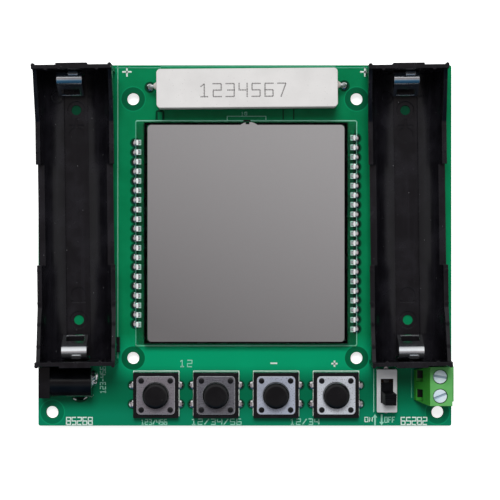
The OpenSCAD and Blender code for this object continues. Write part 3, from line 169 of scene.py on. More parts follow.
# %% Grain: a fine noise and a broad one
BROADER = 18.0
grain, given, result = new_group("grain", {"Size mm": 0.3}, {"Fine": FLOAT, "Broad": FLOAT})
scale = maths(grain, "DIVIDE", 1000.0, given["Size mm"])
broad_scale = maths(grain, "DIVIDE", scale, BROADER)
where = object_coordinates(grain)
fine = node(grain, "ShaderNodeTexNoise", {"Vector": where, "Scale": scale, "Detail": 3.0})
broad = node(grain, "ShaderNodeTexNoise", {"Vector": where, "Scale": broad_scale, "Detail": 4.0})
grain.links.new(fine.outputs["Fac"], result["Fine"])
grain.links.new(broad.outputs["Fac"], result["Broad"])
print("grain", len(grain.nodes), "nodes")

# %% Soft edges: a rounded normal, and a mask of the edges
edges, given, result = new_group("soft edges", {"Radius mm": 0.15},
                                 {"Normal": "NodeSocketVector", "Edge": FLOAT})
radius = maths(edges, "DIVIDE", given["Radius mm"], 1000.0)
rounded = node(edges, "ShaderNodeBevel", {"Radius": radius}, samples=6)
flat = node(edges, "ShaderNodeNewGeometry").outputs["Normal"]
likeness = node(edges, "ShaderNodeVectorMath", {0: rounded.outputs[0], 1: flat}, operation="DOT_PRODUCT")
edges.links.new(rounded.outputs[0], result["Normal"])
edges.links.new(ramp(edges, likeness.outputs["Value"], 0.995, 0.88), result["Edge"])
print("soft edges", len(edges.nodes), "nodes")

# %% Scratches: noise stretched along one direction
STRETCH = (0.04, 1.0, 0.3)
scratches, given, result = new_group("scratches", {"Spacing mm": 0.1, "Turn": 0.0}, {"Mask": FLOAT})
turned = node(scratches, "ShaderNodeVectorRotate",
              {"Vector": object_coordinates(scratches), "Angle": given["Turn"]}, rotation_type="Z_AXIS")
long = node(scratches, "ShaderNodeVectorMath", {0: turned.outputs[0], 1: STRETCH}, operation="MULTIPLY")
scale = maths(scratches, "DIVIDE", 1000.0, given["Spacing mm"])
lines = node(scratches, "ShaderNodeTexNoise", {"Vector": long.outputs[0], "Detail": 2.0, "Scale": scale})
scratches.links.new(ramp(scratches, lines.outputs["Fac"], 0.52, 0.68), result["Mask"])
print("scratches", len(scratches.nodes), "nodes")

# %% Dust: scattered round specks of different sizes
dust, given, result = new_group("dust", {"Spacing mm": 1.5, "Share": 0.3, "Speck": 0.07}, {"Mask": FLOAT})
cells = node(dust, "ShaderNodeTexVoronoi", {"Vector": object_coordinates(dust),
                                            "Scale": maths(dust, "DIVIDE", 1000.0, given["Spacing mm"])})
chance = node(dust, "ShaderNodeSeparateColor", {"Color": cells.outputs["Color"]})
size = maths(dust, "MULTIPLY", given["Speck"], maths(dust, "ADD", chance.outputs["Green"], 0.3))
speck = maths(dust, "LESS_THAN", cells.outputs["Distance"], size)
kept = maths(dust, "LESS_THAN", chance.outputs["Red"], given["Share"])
dust.links.new(maths(dust, "MULTIPLY", speck, kept), result["Mask"])
print("dust", len(dust.nodes), "nodes")


# %% Start a material
def effect(tree, group, **values):
    """Places one of the groups above, with its own values."""
    made = node(tree, "ShaderNodeGroup")
    made.node_tree = group
    for label, value in values.items():
        made.inputs[label.replace("_", " ")].default_value = value
    return made.outputs


def finish(name, roughness, metallic=0.0, **sockets):
    """A material whose Principled shader has plain numbers on its own sockets."""
    material = bpy.data.materials.new(name)
    material.use_nodes = True
    shader = material.node_tree.nodes["Principled BSDF"]
    shader.inputs["Roughness"].default_value = roughness
    shader.inputs["Metallic"].default_value = metallic
    for label, value in sockets.items():
        shader.inputs[label.replace("_", " ")].default_value = value
    return material, material.node_tree, shader


def axes(tree):
    """The place along X, Y and Z, in metres."""
    return node(tree, "ShaderNodeSeparateXYZ", {0: object_coordinates(tree)}).outputs


def paint(tree, shader, colour):
    tree.links.new(colour, shader.inputs["Base Color"])


def roughen(tree, shader, noise_value, low, high):
    """The roughness follows a noise, between two values."""
    tree.links.new(ramp(tree, noise_value, 0.3, 0.7, low, high), shader.inputs["Roughness"])


def bumpy(tree, shader, height, strength, depth_mm, normal=None):
    made = node(tree, "ShaderNodeBump", {"Height": height, "Strength": strength, "Distance": depth_mm * MM})
    if normal is not None:
        tree.links.new(normal, made.inputs["Normal"])
    tree.links.new(made.outputs["Normal"], shader.inputs["Normal"])


def wear(*names, material):
    """Gives CAD nodes this material."""
    for name in names:
        mesh = nodes[name].data
        mesh.materials.clear()
        mesh.materials.append(material)


print("material helpers ready")

# %% [markdown]
# ## The circuit board
# The board is glass cloth in green resin, with a green solder mask over the copper. The mask looks lighter
# where it lies on copper and darker where the copper stands back from a hole. So the material measures how
# far a point is from the holes, the pins and the legs, and darkens the mask there. It also paints shade
# where the board shows through the holes in the holders' upper floors, and bands of painted light and shade
# along Y.
# Pins and legs repeat, so one distance that wraps every pitch serves a whole row. The cut sides of the board
# show the bare resin. One material does all of it, because it is one sheet.

# %% Masks round a place
def off(tree, value, middle_mm):
    """How far a value is from a place in mm, on either side of it."""
    return maths(tree, "ABSOLUTE", maths(tree, "SUBTRACT", value, middle_mm * MM))


def within(tree, value, middle_mm, half_mm):
    return maths(tree, "LESS_THAN", off(tree, value, middle_mm), half_mm * MM)


def gap(tree, a, b, place_mm):
    """Distance in metres, across the board, of the point a, b from a place in mm."""
    across = maths(tree, "SUBTRACT", a, place_mm[0] * MM)
    along = maths(tree, "SUBTRACT", b, place_mm[1] * MM)
    return maths(tree, "SQRT", maths(tree, "ADD", maths(tree, "MULTIPLY", across, across),
                                     maths(tree, "MULTIPLY", along, along)))


def disc(tree, distance, radius_mm, soft_mm=0.2):
    """1 near a place, and down to 0 over the soft rim of the disc."""
    return ramp(tree, distance, radius_mm * MM, (radius_mm - soft_mm) * MM)


def wrap(tree, value, pitch_mm):
    """Repeats a distance every pitch, from minus half of it to plus half of it."""
    half = pitch_mm / 2 * MM
    return node(tree, "ShaderNodeMath", {0: value, 1: half, 2: -half}, operation="WRAP").outputs[0]


print("mask helpers ready")

# %% Solder mask: clearances round holes, pins and legs, and painted shade under the holders' floor holes
HOLES = (29.75, 34.5)
CORNER_HOLES = (51.3, -48.9)
HOLE_CLEARANCE, LEG_CLEARANCE, LEAD_CLEARANCE, SHUNT_CLEARANCE = 3.2, 1.45, 1.6, 2.65
DISPLAY_MIDDLE = (0.25, -1.35)
PIN_COLUMN = 29.47
PIN_PITCH = 2.54
PINS_LEFT, PINS_RIGHT = 20, 21
BUTTON_PITCH = 15.95
BUTTON_ROW = (0.3, -44.25)
BUTTON_LEG = (6.3, 2.5)
ROW_HALF = 32
RESISTOR_LEADS = ((-25.26, 37.6), (26.44, 38.0))
HOLDERS_MIDDLE = -0.75
UPPER_FLOOR_HOLE = (43.75, 31.5)
FLOOR_HOLE_SHADE = 3.4
SHUNT_PAD = (-43.9, -43.8)

board_green, tree, shader = finish("board_green", 0.15, Specular_IOR_Level=0.12)
x, y, z = axes(tree)
from_hole = maths(tree, "MINIMUM", gap(tree, off(tree, x, 0), off(tree, y, 0), HOLES),
                  gap(tree, off(tree, x, 0), y, CORNER_HOLES))
near_hole = disc(tree, from_hole, HOLE_CLEARANCE, 0.15)
hole_rim = maths(tree, "MULTIPLY", ramp(tree, from_hole, (HOLE_CLEARANCE - 0.1) * MM, HOLE_CLEARANCE * MM),
                 disc(tree, from_hole, HOLE_CLEARANCE + 0.25, 0.15))

# The left column has one pin fewer than the right one, so its pins sit half a pitch further along
half_step = maths(tree, "MULTIPLY", maths(tree, "LESS_THAN", x, 0.0), PIN_PITCH / 2 * MM)
pin_x = off(tree, x, DISPLAY_MIDDLE[0])
pin_y = maths(tree, "ADD", maths(tree, "SUBTRACT", y, DISPLAY_MIDDLE[1] * MM), half_step)
column_half = maths(tree, "SUBTRACT", PINS_RIGHT * PIN_PITCH / 2 * MM, half_step)
in_column = maths(tree, "LESS_THAN", off(tree, y, DISPLAY_MIDDLE[1]), column_half)
from_pin = gap(tree, pin_x, wrap(tree, pin_y, PIN_PITCH), (PIN_COLUMN, 0))

from_row = maths(tree, "SUBTRACT", x, (BUTTON_ROW[0] + BUTTON_PITCH / 2) * MM)
button_u = maths(tree, "ABSOLUTE", wrap(tree, from_row, BUTTON_PITCH))
from_leg = gap(tree, button_u, off(tree, y, BUTTON_ROW[1]), BUTTON_LEG)
from_lead = maths(tree, "MINIMUM", *[gap(tree, x, y, lead) for lead in RESISTOR_LEADS])
from_floor_hole = gap(tree, off(tree, x, HOLDERS_MIDDLE), y, UPPER_FLOOR_HOLE)

near_pin = maths(tree, "MULTIPLY", in_column, disc(tree, from_pin, LEG_CLEARANCE))
in_row = within(tree, x, BUTTON_ROW[0], ROW_HALF)
near_leg = maths(tree, "MULTIPLY", in_row, disc(tree, from_leg, LEG_CLEARANCE))
dark_places = maths(tree, "MAXIMUM", near_pin, near_leg)
# The patch round the holders' upper floor holes is painted shade; the other patches are clearances
for patch in (disc(tree, from_lead, LEAD_CLEARANCE), disc(tree, from_floor_hole, FLOOR_HOLE_SHADE, 0.4),
              disc(tree, gap(tree, x, y, SHUNT_PAD), SHUNT_CLEARANCE)):
    dark_places = maths(tree, "MAXIMUM", dark_places, patch)
print("clearances round", HOLES, CORNER_HOLES)

# %% Solder mask: colours
# Painted light and shade along Y: where each tone starts and where it is reached, from the display down to
# the lower edge
PAINTED_LIGHT_BANDS = ((-28, -33, "#029a6a"), (-36.5, -41, "#016a48"), (-46, -49.5, "#067c5a"))
LOW_HALF = -45
texture = effect(tree, grain, Size_mm=0.35)
masked = blend_colour(tree, ramp(tree, texture["Broad"], 0.35, 0.65), srgb("#01794b"), srgb("#048353"))
for start, end, tone in PAINTED_LIGHT_BANDS:
    masked = blend_colour(tree, ramp(tree, y, start * MM, end * MM), masked, srgb(tone))
# The clearance round the holes takes a lighter tone in the lower half, following the painted light along Y
low_half = maths(tree, "LESS_THAN", y, LOW_HALF * MM)
hole_green = blend_colour(tree, low_half, srgb("#015f3d"), srgb("#016c4b"))
masked = blend_colour(tree, near_hole, masked, hole_green)
masked = blend_colour(tree, maths(tree, "MULTIPLY", hole_rim, 0.5), masked, srgb("#0ba06c"))
masked = blend_colour(tree, dark_places, masked, srgb("#03402a"))
normal = node(tree, "ShaderNodeNewGeometry").outputs["Normal"]
upright = node(tree, "ShaderNodeSeparateXYZ", {0: normal}).outputs["Z"]
on_side = maths(tree, "LESS_THAN", maths(tree, "ABSOLUTE", upright), 0.5)
resin = blend_colour(tree, texture["Fine"], srgb("#6f8a4a"), srgb("#8e9c62"))
paint(tree, shader, blend_colour(tree, on_side, masked, resin))
roughen(tree, shader, texture["Broad"], 0.12, 0.18)
bumpy(tree, shader, texture["Fine"], 0.1, 0.01)
wear("circuit_board", material=board_green)
print("board", len(tree.nodes), "nodes")

# %% [markdown]
# ## Solder and tinned legs
# Solder is a soft bright metal that froze from a liquid, so it is smooth with slow dents, and duller where
# flux lay on it. Legs and pins are tin on steel or brass, a little rougher. All of them have a grain that
# changes the roughness and a very low bump. Frosted tin and zinc take soft light as paint does, so their
# metallic share is below 1.

# %% Solder, tin and nickel
def plated(name, light, dark, rough, grain_mm, depth_mm, scratch_mm=0.0, turn=0.0, edge_mm=0.06,
           metallic=1.0, edge_highlight=0.0):
    material, tree, shader = finish(name, rough, metallic=metallic)
    texture = effect(tree, grain, Size_mm=grain_mm)
    colour = blend_colour(tree, ramp(tree, texture["Broad"], 0.3, 0.7), srgb(light), srgb(dark))
    height = texture["Fine"]
    if scratch_mm:
        marks = effect(tree, scratches, Spacing_mm=scratch_mm, Turn=turn)["Mask"]
        colour = blend_colour(tree, maths(tree, "MULTIPLY", marks, 0.35), colour, srgb(dark))
        height = maths(tree, "SUBTRACT", height, marks)
    soft = effect(tree, edges, Radius_mm=edge_mm)
    # Painted highlight: the soft edges are painted towards white
    if edge_highlight:
        bright = maths(tree, "MULTIPLY", soft["Edge"], edge_highlight)
        colour = blend_colour(tree, bright, colour, srgb("#ffffff"))
    paint(tree, shader, colour)
    roughen(tree, shader, texture["Fine"], rough * 0.8, rough * 1.25)
    bumpy(tree, shader, height, 0.4, depth_mm, soft["Normal"])
    return material


solder = plated("solder", "#f6f8f9", "#d8dcde", 0.12, 0.5, 0.05)
tinned_wire = plated("tinned_wire", "#f6f8f9", "#d8dcde", 0.15, 0.3, 0.006, metallic=0.6)
nickel_strip = plated("nickel_strip", "#f4f6f8", "#d5dae0", 0.18, 0.4, 0.006, scratch_mm=0.12, turn=1.57)
wear("solder_joints", material=solder)
# The switch's terminals are painted dark grey, a painted shade inside the switch
shaded_tin = plated("shaded_tin", "#6a6a6c", "#4a4a4c", 0.5, 0.3, 0.006)
wear("resistor_leads", "display_left_pins", "display_right_pins", "button_legs", "terminal_bars",
     "chip_legs", material=tinned_wire)
wear("switch_terminals", material=shaded_tin)
print("solder, tin and nickel")

# %% [markdown]
# ## Moulded plastics
# The holders, the jack, the switch and the buttons are injection moulded. Moulded plastic has a fine texture
# from its mould, soft edges that show as thin bright lines, painted here as a paler tone, and it gathers
# dust.
# The holders also get pale streaks of painted sheen. One recipe makes them all, with its own colours, gloss,
# grain and dust for each.

# %% Recipe for moulded plastic
def moulded(name, base, pale, rough, grain_mm, depth_mm, edge_mm, dust_share=0.0, dust_mm=1.2,
            streaks=0.0, shine=0.3):
    material, tree, shader = finish(name, rough, IOR=1.5, Specular_IOR_Level=shine)
    texture = effect(tree, grain, Size_mm=grain_mm)
    colour = blend_colour(tree, ramp(tree, texture["Broad"], 0.42, 0.72), srgb(base), srgb(pale))
    soft = effect(tree, edges, Radius_mm=edge_mm)
    # Painted highlight on the soft edges
    colour = blend_colour(tree, maths(tree, "MULTIPLY", soft["Edge"], 0.5), colour, srgb(pale))
    # Painted sheen: pale streaks
    if streaks:
        marks = effect(tree, scratches, Spacing_mm=1.6, Turn=1.57)["Mask"]
        colour = blend_colour(tree, maths(tree, "MULTIPLY", marks, streaks), colour, srgb(pale))
    if dust_share:
        specks = effect(tree, dust, Spacing_mm=dust_mm, Share=dust_share, Speck=0.06)["Mask"]
        colour = blend_colour(tree, maths(tree, "MULTIPLY", specks, 0.45), colour, srgb("#a9a9ad"))
    paint(tree, shader, colour)
    roughen(tree, shader, texture["Broad"], rough * 0.85, rough * 1.2)
    bumpy(tree, shader, texture["Fine"], 0.35, depth_mm, soft["Normal"])
    return material


holder_plastic = moulded("holder_plastic", "#0e0d11", "#1c1b20", 0.24, 0.35, 0.012, 0.2, 0.35, 1.4,
                         streaks=0.5)
button_plastic = moulded("button_plastic", "#0b0b0e", "#131317", 0.22, 0.25, 0.006, 0.12, 0.2, 1.0)
jack_plastic = moulded("jack_plastic", "#060609", "#101014", 0.2, 0.3, 0.006, 0.15, 0.25, 1.1)
plunger_plastic = moulded("plunger_plastic", "#050508", "#0b0b0e", 0.25, 0.25, 0.006, 0.3, 0.2, 1.0,
                          shine=0.35)
switch_plastic = moulded("switch_plastic", "#0b0b0e", "#16161a", 0.5, 0.2, 0.006, 0.1, 0.2, 0.9, shine=0.1)
seal_black = moulded("seal_black", "#060708", "#101113", 0.25, 0.3, 0.01, 0.08)
chip_plastic = moulded("chip_plastic", "#1a1a1c", "#2b2b2e", 0.55, 0.12, 0.012, 0.06, 0.2, 0.8)
wear("left_cell_holder", "right_cell_holder", material=holder_plastic)
wear("jack_housing", material=jack_plastic)
wear("switch_knob", material=switch_plastic)
wear("display_seal", material=seal_black)
wear("display_driver", "controller", "power_transistors", "voltage_regulator", "chip_resistors",
     material=chip_plastic)
BUTTONS = ("mode", "set", "minus", "plus")
wear(*[f"{b}_button_base" for b in BUTTONS], material=button_plastic)
wear(*[f"{b}_button_plunger" for b in BUTTONS], material=plunger_plastic)
print("black plastics")

# %% Green terminal, brown laminate, tan capacitors
def shade_where(material, mask, colour):
    """Lays another colour over a finished material wherever the mask is 1."""
    tree, shader = material.node_tree, material.node_tree.nodes["Principled BSDF"]
    under = shader.inputs["Base Color"].links[0].from_socket
    tree.links.new(blend_colour(tree, mask, under, srgb(colour)), shader.inputs["Base Color"])


# The front of the terminal slopes up from its foot to the flat top, and the slope gets painted shade. Behind
# it the wires' ways in get painted shade, nearly black.
SLOPE_FOOT = (45.0, 2.6)
SLOPE_LEAN = 3.9 / 9.2
SLOPE_TOP = 48.65
ENTRY_MIDDLES = (-38.61, -43.69)
ENTRY_HALF = 1.12
ENTRY_BACK = 54.2
ENTRY_CEILING = 9.0
terminal_green = moulded("terminal_green", "#58a658", "#6cb868", 0.3, 0.3, 0.01, 0.2, 0.15, 1.0)
tree = terminal_green.node_tree
x, y, z = axes(tree)
climb = maths(tree, "MULTIPLY", maths(tree, "SUBTRACT", z, SLOPE_FOOT[1] * MM), SLOPE_LEAN)
behind = maths(tree, "SUBTRACT", maths(tree, "SUBTRACT", x, SLOPE_FOOT[0] * MM), climb)
# Painted shade on the sloped front
shade_where(terminal_green, disc(tree, x, SLOPE_TOP + 0.05, 0.1), "#328a2a")
inside = maths(tree, "MULTIPLY", maths(tree, "GREATER_THAN", behind, 0.25 * MM),
               maths(tree, "LESS_THAN", z, ENTRY_CEILING * MM))
inside = maths(tree, "MULTIPLY", inside, maths(tree, "LESS_THAN", x, ENTRY_BACK * MM))
# Painted shade inside the ways in
for middle in ENTRY_MIDDLES:
    entry = maths(tree, "MULTIPLY", inside, within(tree, y, middle, ENTRY_HALF))
    shade_where(terminal_green, entry, "#020503")
laminate = moulded("laminate", "#2b1c10", "#4a3320", 0.5, 0.2, 0.01, 0.05)
capacitor_tan = moulded("capacitor_tan", "#9c7f58", "#b69a72", 0.45, 0.2, 0.01, 0.06)
wear("terminal_housing", material=terminal_green)
wear("switch_base", material=laminate)
wear("chip_capacitors", material=capacitor_tan)

# Painted shade on the solder under the jack's barrel
SHADED_SOLDER_PLACE = (-43.8, -44.1)
tree = solder.node_tree
x, y, z = axes(tree)
shade_where(solder, disc(tree, gap(tree, x, y, SHADED_SOLDER_PLACE), 1.9, 0.1), "#12201a")
print("terminal, laminate and capacitors")

# %% [markdown]
# ## Sheet metal, screws and brass
# The button covers are plated steel sheet. Each one gets its own painted reflection, from purple grey on the
# left to pale blue on the right, so the material reads a place along X, and their soft edges get a painted
# highlight. The screws are blue zinc with scratches across their heads, from many turns of a screwdriver.

# %% Button covers
button_steel, tree, shader = finish("button_steel", 0.3, metallic=0.5)
texture = effect(tree, grain, Size_mm=0.35)
soft = effect(tree, edges, Radius_mm=0.22)
marks = effect(tree, scratches, Spacing_mm=0.12, Turn=0.0)["Mask"]
COVERS_FROM, COVERS_TO = -31.6, 32.2
# Painted reflections, one tone for each cover
COVER_REFLECTIONS = ("#8e888f", "#6f6d73", "#c7cfe1", "#f0f6ff")
x, y, z = axes(tree)
cover_reflections = node(tree, "ShaderNodeValToRGB", {"Fac": ramp(tree, x, COVERS_FROM * MM, COVERS_TO * MM)})
cover_reflections.color_ramp.interpolation = "CONSTANT"
cover_reflections.color_ramp.elements[1].position = 1 / len(COVER_REFLECTIONS)
for k in range(2, len(COVER_REFLECTIONS)):
    cover_reflections.color_ramp.elements.new(k / len(COVER_REFLECTIONS))
for stop, reflection_tone in zip(cover_reflections.color_ramp.elements, COVER_REFLECTIONS):
    stop.color = srgb(reflection_tone)
cloud = ramp(tree, texture["Broad"], 0.35, 0.7, 0.0, 0.35)
colour = blend_colour(tree, cloud, cover_reflections.outputs["Color"], srgb("#5d6377"))
colour = blend_colour(tree, maths(tree, "MULTIPLY", marks, 0.2), colour, srgb("#dfe3ea"))
# Painted highlight on the soft edges
paint(tree, shader, blend_colour(tree, soft["Edge"], colour, srgb("#f2f4f8")))
roughen(tree, shader, texture["Fine"], 0.24, 0.38)
bumpy(tree, shader, marks, 0.2, 0.01, soft["Normal"])
wear(*[f"{b}_button_{k}" for b in BUTTONS for k in ("cover", "dome")], material=button_steel)
print("covers")

# %% Switch frame, jack metal, screws and brass
switch_steel = plated("switch_steel", "#f2f3f4", "#d2d5d8", 0.4, 0.3, 0.008, scratch_mm=0.15, edge_mm=0.2,
                      metallic=0.45, edge_highlight=0.9)
jack_metal = plated("jack_metal", "#d4d6d6", "#a9acab", 0.3, 0.3, 0.008)
screw_steel = plated("screw_steel", "#f0faff", "#bcd8ec", 0.34, 0.25, 0.02, scratch_mm=0.16, turn=0.5,
                     edge_mm=0.12, metallic=0.1, edge_highlight=0.6)
brass = plated("brass", "#d8bd78", "#a98a48", 0.35, 0.3, 0.008)
# Painted shade on the screws below the tops of their heads, in the slots and round the sides
SLOT_FLOOR = 11.3
tree = screw_steel.node_tree
x, y, z = axes(tree)
shade_where(screw_steel, disc(tree, z, SLOT_FLOOR), "#a9bfce")
wear("switch_frame", material=switch_steel)
wear("jack_centre_pin", "jack_sleeve_leaf", "jack_sleeve_tail", "jack_shunt_contact", material=jack_metal)
wear("upper_terminal_screw", "lower_terminal_screw", material=screw_steel)
wear("switch_wiper", "upper_clamp_cage", "lower_clamp_cage", material=brass)
print("metals")

# %% [markdown]
# ## Ceramic
# The load resistor is a wound rod in a white ceramic trough that is filled with cement. The surface is
# unglazed: matte, with small pores and faint grey clouds. Pores are the dust group again, but dark and sunk.

# %% Ceramic, cement and the wound rod
def ceramic(name, light, dark, pore_share, pore_mm, rough=0.75):
    material, tree, shader = finish(name, rough)
    texture = effect(tree, grain, Size_mm=0.4)
    pores = effect(tree, dust, Spacing_mm=pore_mm, Share=pore_share, Speck=0.16)["Mask"]
    colour = blend_colour(tree, ramp(tree, texture["Broad"], 0.35, 0.7), srgb(light), srgb(dark))
    colour = blend_colour(tree, maths(tree, "MULTIPLY", pores, 0.35), colour, srgb("#8b8884"))
    paint(tree, shader, colour)
    roughen(tree, shader, texture["Fine"], rough * 0.9, rough)
    height = maths(tree, "SUBTRACT", texture["Fine"], pores)
    bumpy(tree, shader, height, 0.4, 0.04, effect(tree, edges, Radius_mm=0.35)["Normal"])
    return material


wear("resistor_case", material=ceramic("resistor_ceramic", "#e6e4e3", "#dddbda", 0.35, 0.5))
wear("resistor_cement", material=ceramic("resistor_cement", "#d2cfc8", "#b9b5ab", 0.6, 0.35, 0.9))
wear("resistor_rod", material=ceramic("resistor_rod", "#a19d96", "#7f7b74", 0.3, 0.3, 0.6))
print("resistor")

# %% [markdown]
# ## The display
# A segment display is two sheets of glass with liquid crystal between them and a polarising film on each
# side. When it is off, the film is a plain warm grey with a fine anti-glare grain. The rear sheet is wider,
# and its bare ledges show the board through the glass. The dark frame is the seal, seen through the front.

# %% Glass and films
display_glass, tree, shader = finish("display_glass", 0.03, Transmission_Weight=1.0, IOR=1.2)
texture = effect(tree, grain, Size_mm=0.8)
paint(tree, shader, blend_colour(tree, texture["Broad"], srgb("#a4e0d4"), srgb("#98d4c8")))
roughen(tree, shader, texture["Fine"], 0.02, 0.05)
wear("display_front_glass", "display_rear_glass", material=display_glass)

display_film, tree, shader = finish("display_film", 0.5, IOR=1.45)
texture = effect(tree, grain, Size_mm=0.16)
x, y, z = axes(tree)
# Painted reflection: the film is lighter towards the top and darker towards the bottom, a little along X too
slope = maths(tree, "ADD", y, maths(tree, "MULTIPLY", x, 0.45))
shade = blend_colour(tree, ramp(tree, slope, 0.036, -0.036), srgb("#a5a2a3"), srgb("#6f6c6d"))
speckle = ramp(tree, texture["Fine"], 0.35, 0.65, 0.0, 0.16)
paint(tree, shader, blend_colour(tree, speckle, shade, srgb("#555455")))
roughen(tree, shader, texture["Broad"], 0.45, 0.55)
bumpy(tree, shader, texture["Fine"], 0.15, 0.01)
wear("display_front_film", "display_rear_film", material=display_film)
print("glass and films")

# %% [markdown]
# ## Contact springs
# Each end of a holder has one strip of nickel-plated steel. It stands against the end wall, bends over and
# comes down again as a sprung leaf with a window. The solids hold it as two stiff pieces, so here each
# strip is one sheet, bent over at the top. The sheet is drawn as a row of crossings and gets its thickness
# and soft edges from modifiers.

# %% Where a strip lies
HOLDER_X = {"left": -44.5, "right": 43.0}
CONTACT_U = {"left": 0.0, "right": 0.8}
HOLDER_Y = 3.25
SKEW = math.radians(0.7)
BAY_HALF = 78.1 / 2 - 1.0
PLATE_V = 0.25
BEND_R = 1.8
BEND_V = PLATE_V + BEND_R
BEND_H = 11.4
LEAF_TILT = math.radians(17)
LEAF_L = 8.1
WINDOW_L = 4.6
LEAF_BAR = 0.55


def strip_point(side, end, u, v, height):
    """u across the strip, v inwards from the end wall, height above the board, all in mm."""
    along = BAY_HALF - v if end == "positive" else -(BAY_HALF - 0.4) + v
    u += CONTACT_U[side]
    x = HOLDER_X[side] + u * math.cos(SKEW) - along * math.sin(SKEW)
    y = HOLDER_Y + u * math.sin(SKEW) + along * math.cos(SKEW)
    return Vector((x, y, BOARD_TOP + height)) * MM


def strip_path():
    """(v, height, in the window) from the foot of the plate over the bend to the tip of the leaf."""
    path = [(PLATE_V, 0.1 + (BEND_H - 0.1) * k / 6, False) for k in range(6)]
    for k in range(17):
        angle = math.pi + (LEAF_TILT - math.pi) * k / 16
        path.append((BEND_V + BEND_R * math.cos(angle), BEND_H + BEND_R * math.sin(angle), False))
    v0, h0, _ = path[-1]
    window = LEAF_L - WINDOW_L - LEAF_BAR
    for length in (window * 0.5, window, window + WINDOW_L * 0.5, window + WINDOW_L, LEAF_L):
        opened = window < length <= window + WINDOW_L
        path.append((v0 + length * math.sin(LEAF_TILT), h0 - length * math.cos(LEAF_TILT), opened))
    return path


print("bend at", BEND_V, "mm from the wall")


# %% From a bmesh to an object
def to_object(mesh, name, material, smooth=True):
    bmesh.ops.recalc_face_normals(mesh, faces=mesh.faces)
    data = bpy.data.meshes.new(name)
    mesh.to_mesh(data)
    mesh.free()
    data.materials.append(material)
    data.polygons.foreach_set("use_smooth", [smooth] * len(data.polygons))
    return place(data)


print("mesh helper ready")


# %% Make the four strips
def add_sheet(mesh, side, end, path, crossings, window=None):
    """Joins a path of (v, height, opened) to faces. window is the column that stays open, and a fourth
    number in the path narrows the sheet there."""
    rows = []
    for v, h, _, *narrow in path:
        share = narrow[0] if narrow else 1
        rows.append([mesh.verts.new(strip_point(side, end, u * share, v, h)) for u in crossings])
    for k in range(len(path) - 1):
        for j in range(len(crossings) - 1):
            if not (path[k + 1][2] and j == window):
                mesh.faces.new((rows[k][j], rows[k][j + 1], rows[k + 1][j + 1], rows[k + 1][j]))


def contact_strip(side, end):
    middle = -1.0 if end == "positive" else -0.6
    half, rim = 3.3, 0.9
    mesh = bmesh.new()
    crossings = [middle - half, middle - half + rim, middle + half - rim, middle + half]
    add_sheet(mesh, side, end, strip_path(), crossings, window=1)
    rise = 0.06 if end == "positive" else 0.25
    lip = [(0.05, 1.72), (0.17, 1.8), (0.75, 1.8 + rise)]
    lip += [(0.88, 1.8 + rise * 1.2, 0.9), (0.93, 1.8 + rise * 1.3, 0.7)]
    tongue = [(PLATE_V, BEND_H, False), (PLATE_V, BEND_H + 1.6, False)]
    tongue += [(PLATE_V + v, BEND_H + h, False, *narrow) for v, h, *narrow in lip]
    add_sheet(mesh, side, end, tongue, [-1.25, 0.0, 1.25])
    add_sheet(mesh, side, end, [(PLATE_V, -3.5, False), (PLATE_V, 0.3, False)], [-0.7, 0.7])
    strip = to_object(mesh, f"{side}_{end}_strip", nickel_strip)
    thickness = strip.modifiers.new("thickness", "SOLIDIFY")
    thickness.thickness, thickness.offset = 0.3 * MM, 0
    soften = strip.modifiers.new("soft edges", "BEVEL")
    soften.width, soften.segments, soften.angle_limit = 0.07 * MM, 2, math.radians(50)
    soften.harden_normals = True
    return strip


for side in HOLDER_X:
    for end in ("positive", "negative"):
        strip = contact_strip(side, end)
        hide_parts(f"{side}_{end}_leaf", "contact_anchors")
        strip_point(side, end, 0, BEND_V - 0.8, BEND_H)
        strip_point(side, end, 0, BEND_V + 1.3, BEND_H)
        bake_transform(strip)
        print(strip.name, len(strip.data.polygons), "faces")

# %% [markdown]
# ## Printed lines
# The ink on the board, the copper tracks under the mask and the dotted numbers on the resistor all follow
# paths. So they start as curves of straight strokes, and Geometry Nodes turn them into thin ribbons or into
# rows of dots. The trees have named inputs for their sizes. The ribbons serve every line and track, and the
# dots serve the resistor. The result is turned into a plain mesh, because the export doesn't run modifiers
# of this kind.

# %% Trees for ribbons and dots
def new_geometry_tree(name, inputs):
    tree = bpy.data.node_groups.new(name, "GeometryNodeTree")
    tree.interface.new_socket("Strokes", in_out="INPUT", socket_type="NodeSocketGeometry")
    for label in inputs:
        tree.interface.new_socket(label, in_out="INPUT", socket_type="NodeSocketFloat")
    tree.interface.new_socket("Finish", in_out="INPUT", socket_type="NodeSocketMaterial")
    tree.interface.new_socket("Result", in_out="OUTPUT", socket_type="NodeSocketGeometry")
    return tree, node(tree, "NodeGroupInput").outputs, node(tree, "NodeGroupOutput").inputs


def end_tree(tree, geometry, given, result):
    real = node(tree, "GeometryNodeRealizeInstances", {"Geometry": geometry})
    dressed = node(tree, "GeometryNodeSetMaterial",
                   {"Geometry": real.outputs[0], "Material": given["Finish"]})
    tree.links.new(dressed.outputs[0], result["Result"])


ribbons, given, result = new_geometry_tree("ribbons", ("Width", "Thickness"))
level = node(ribbons, "GeometryNodeSetCurveNormal", {"Curve": given["Strokes"]}, mode="Z_UP")
section = node(ribbons, "GeometryNodeCurvePrimitiveQuadrilateral",
               {"Width": given["Width"], "Height": given["Thickness"]})
sheet = node(ribbons, "GeometryNodeCurveToMesh",
             {"Curve": level.outputs[0], "Profile Curve": section.outputs[0], "Fill Caps": True})
end_tree(ribbons, sheet.outputs[0], given, result)

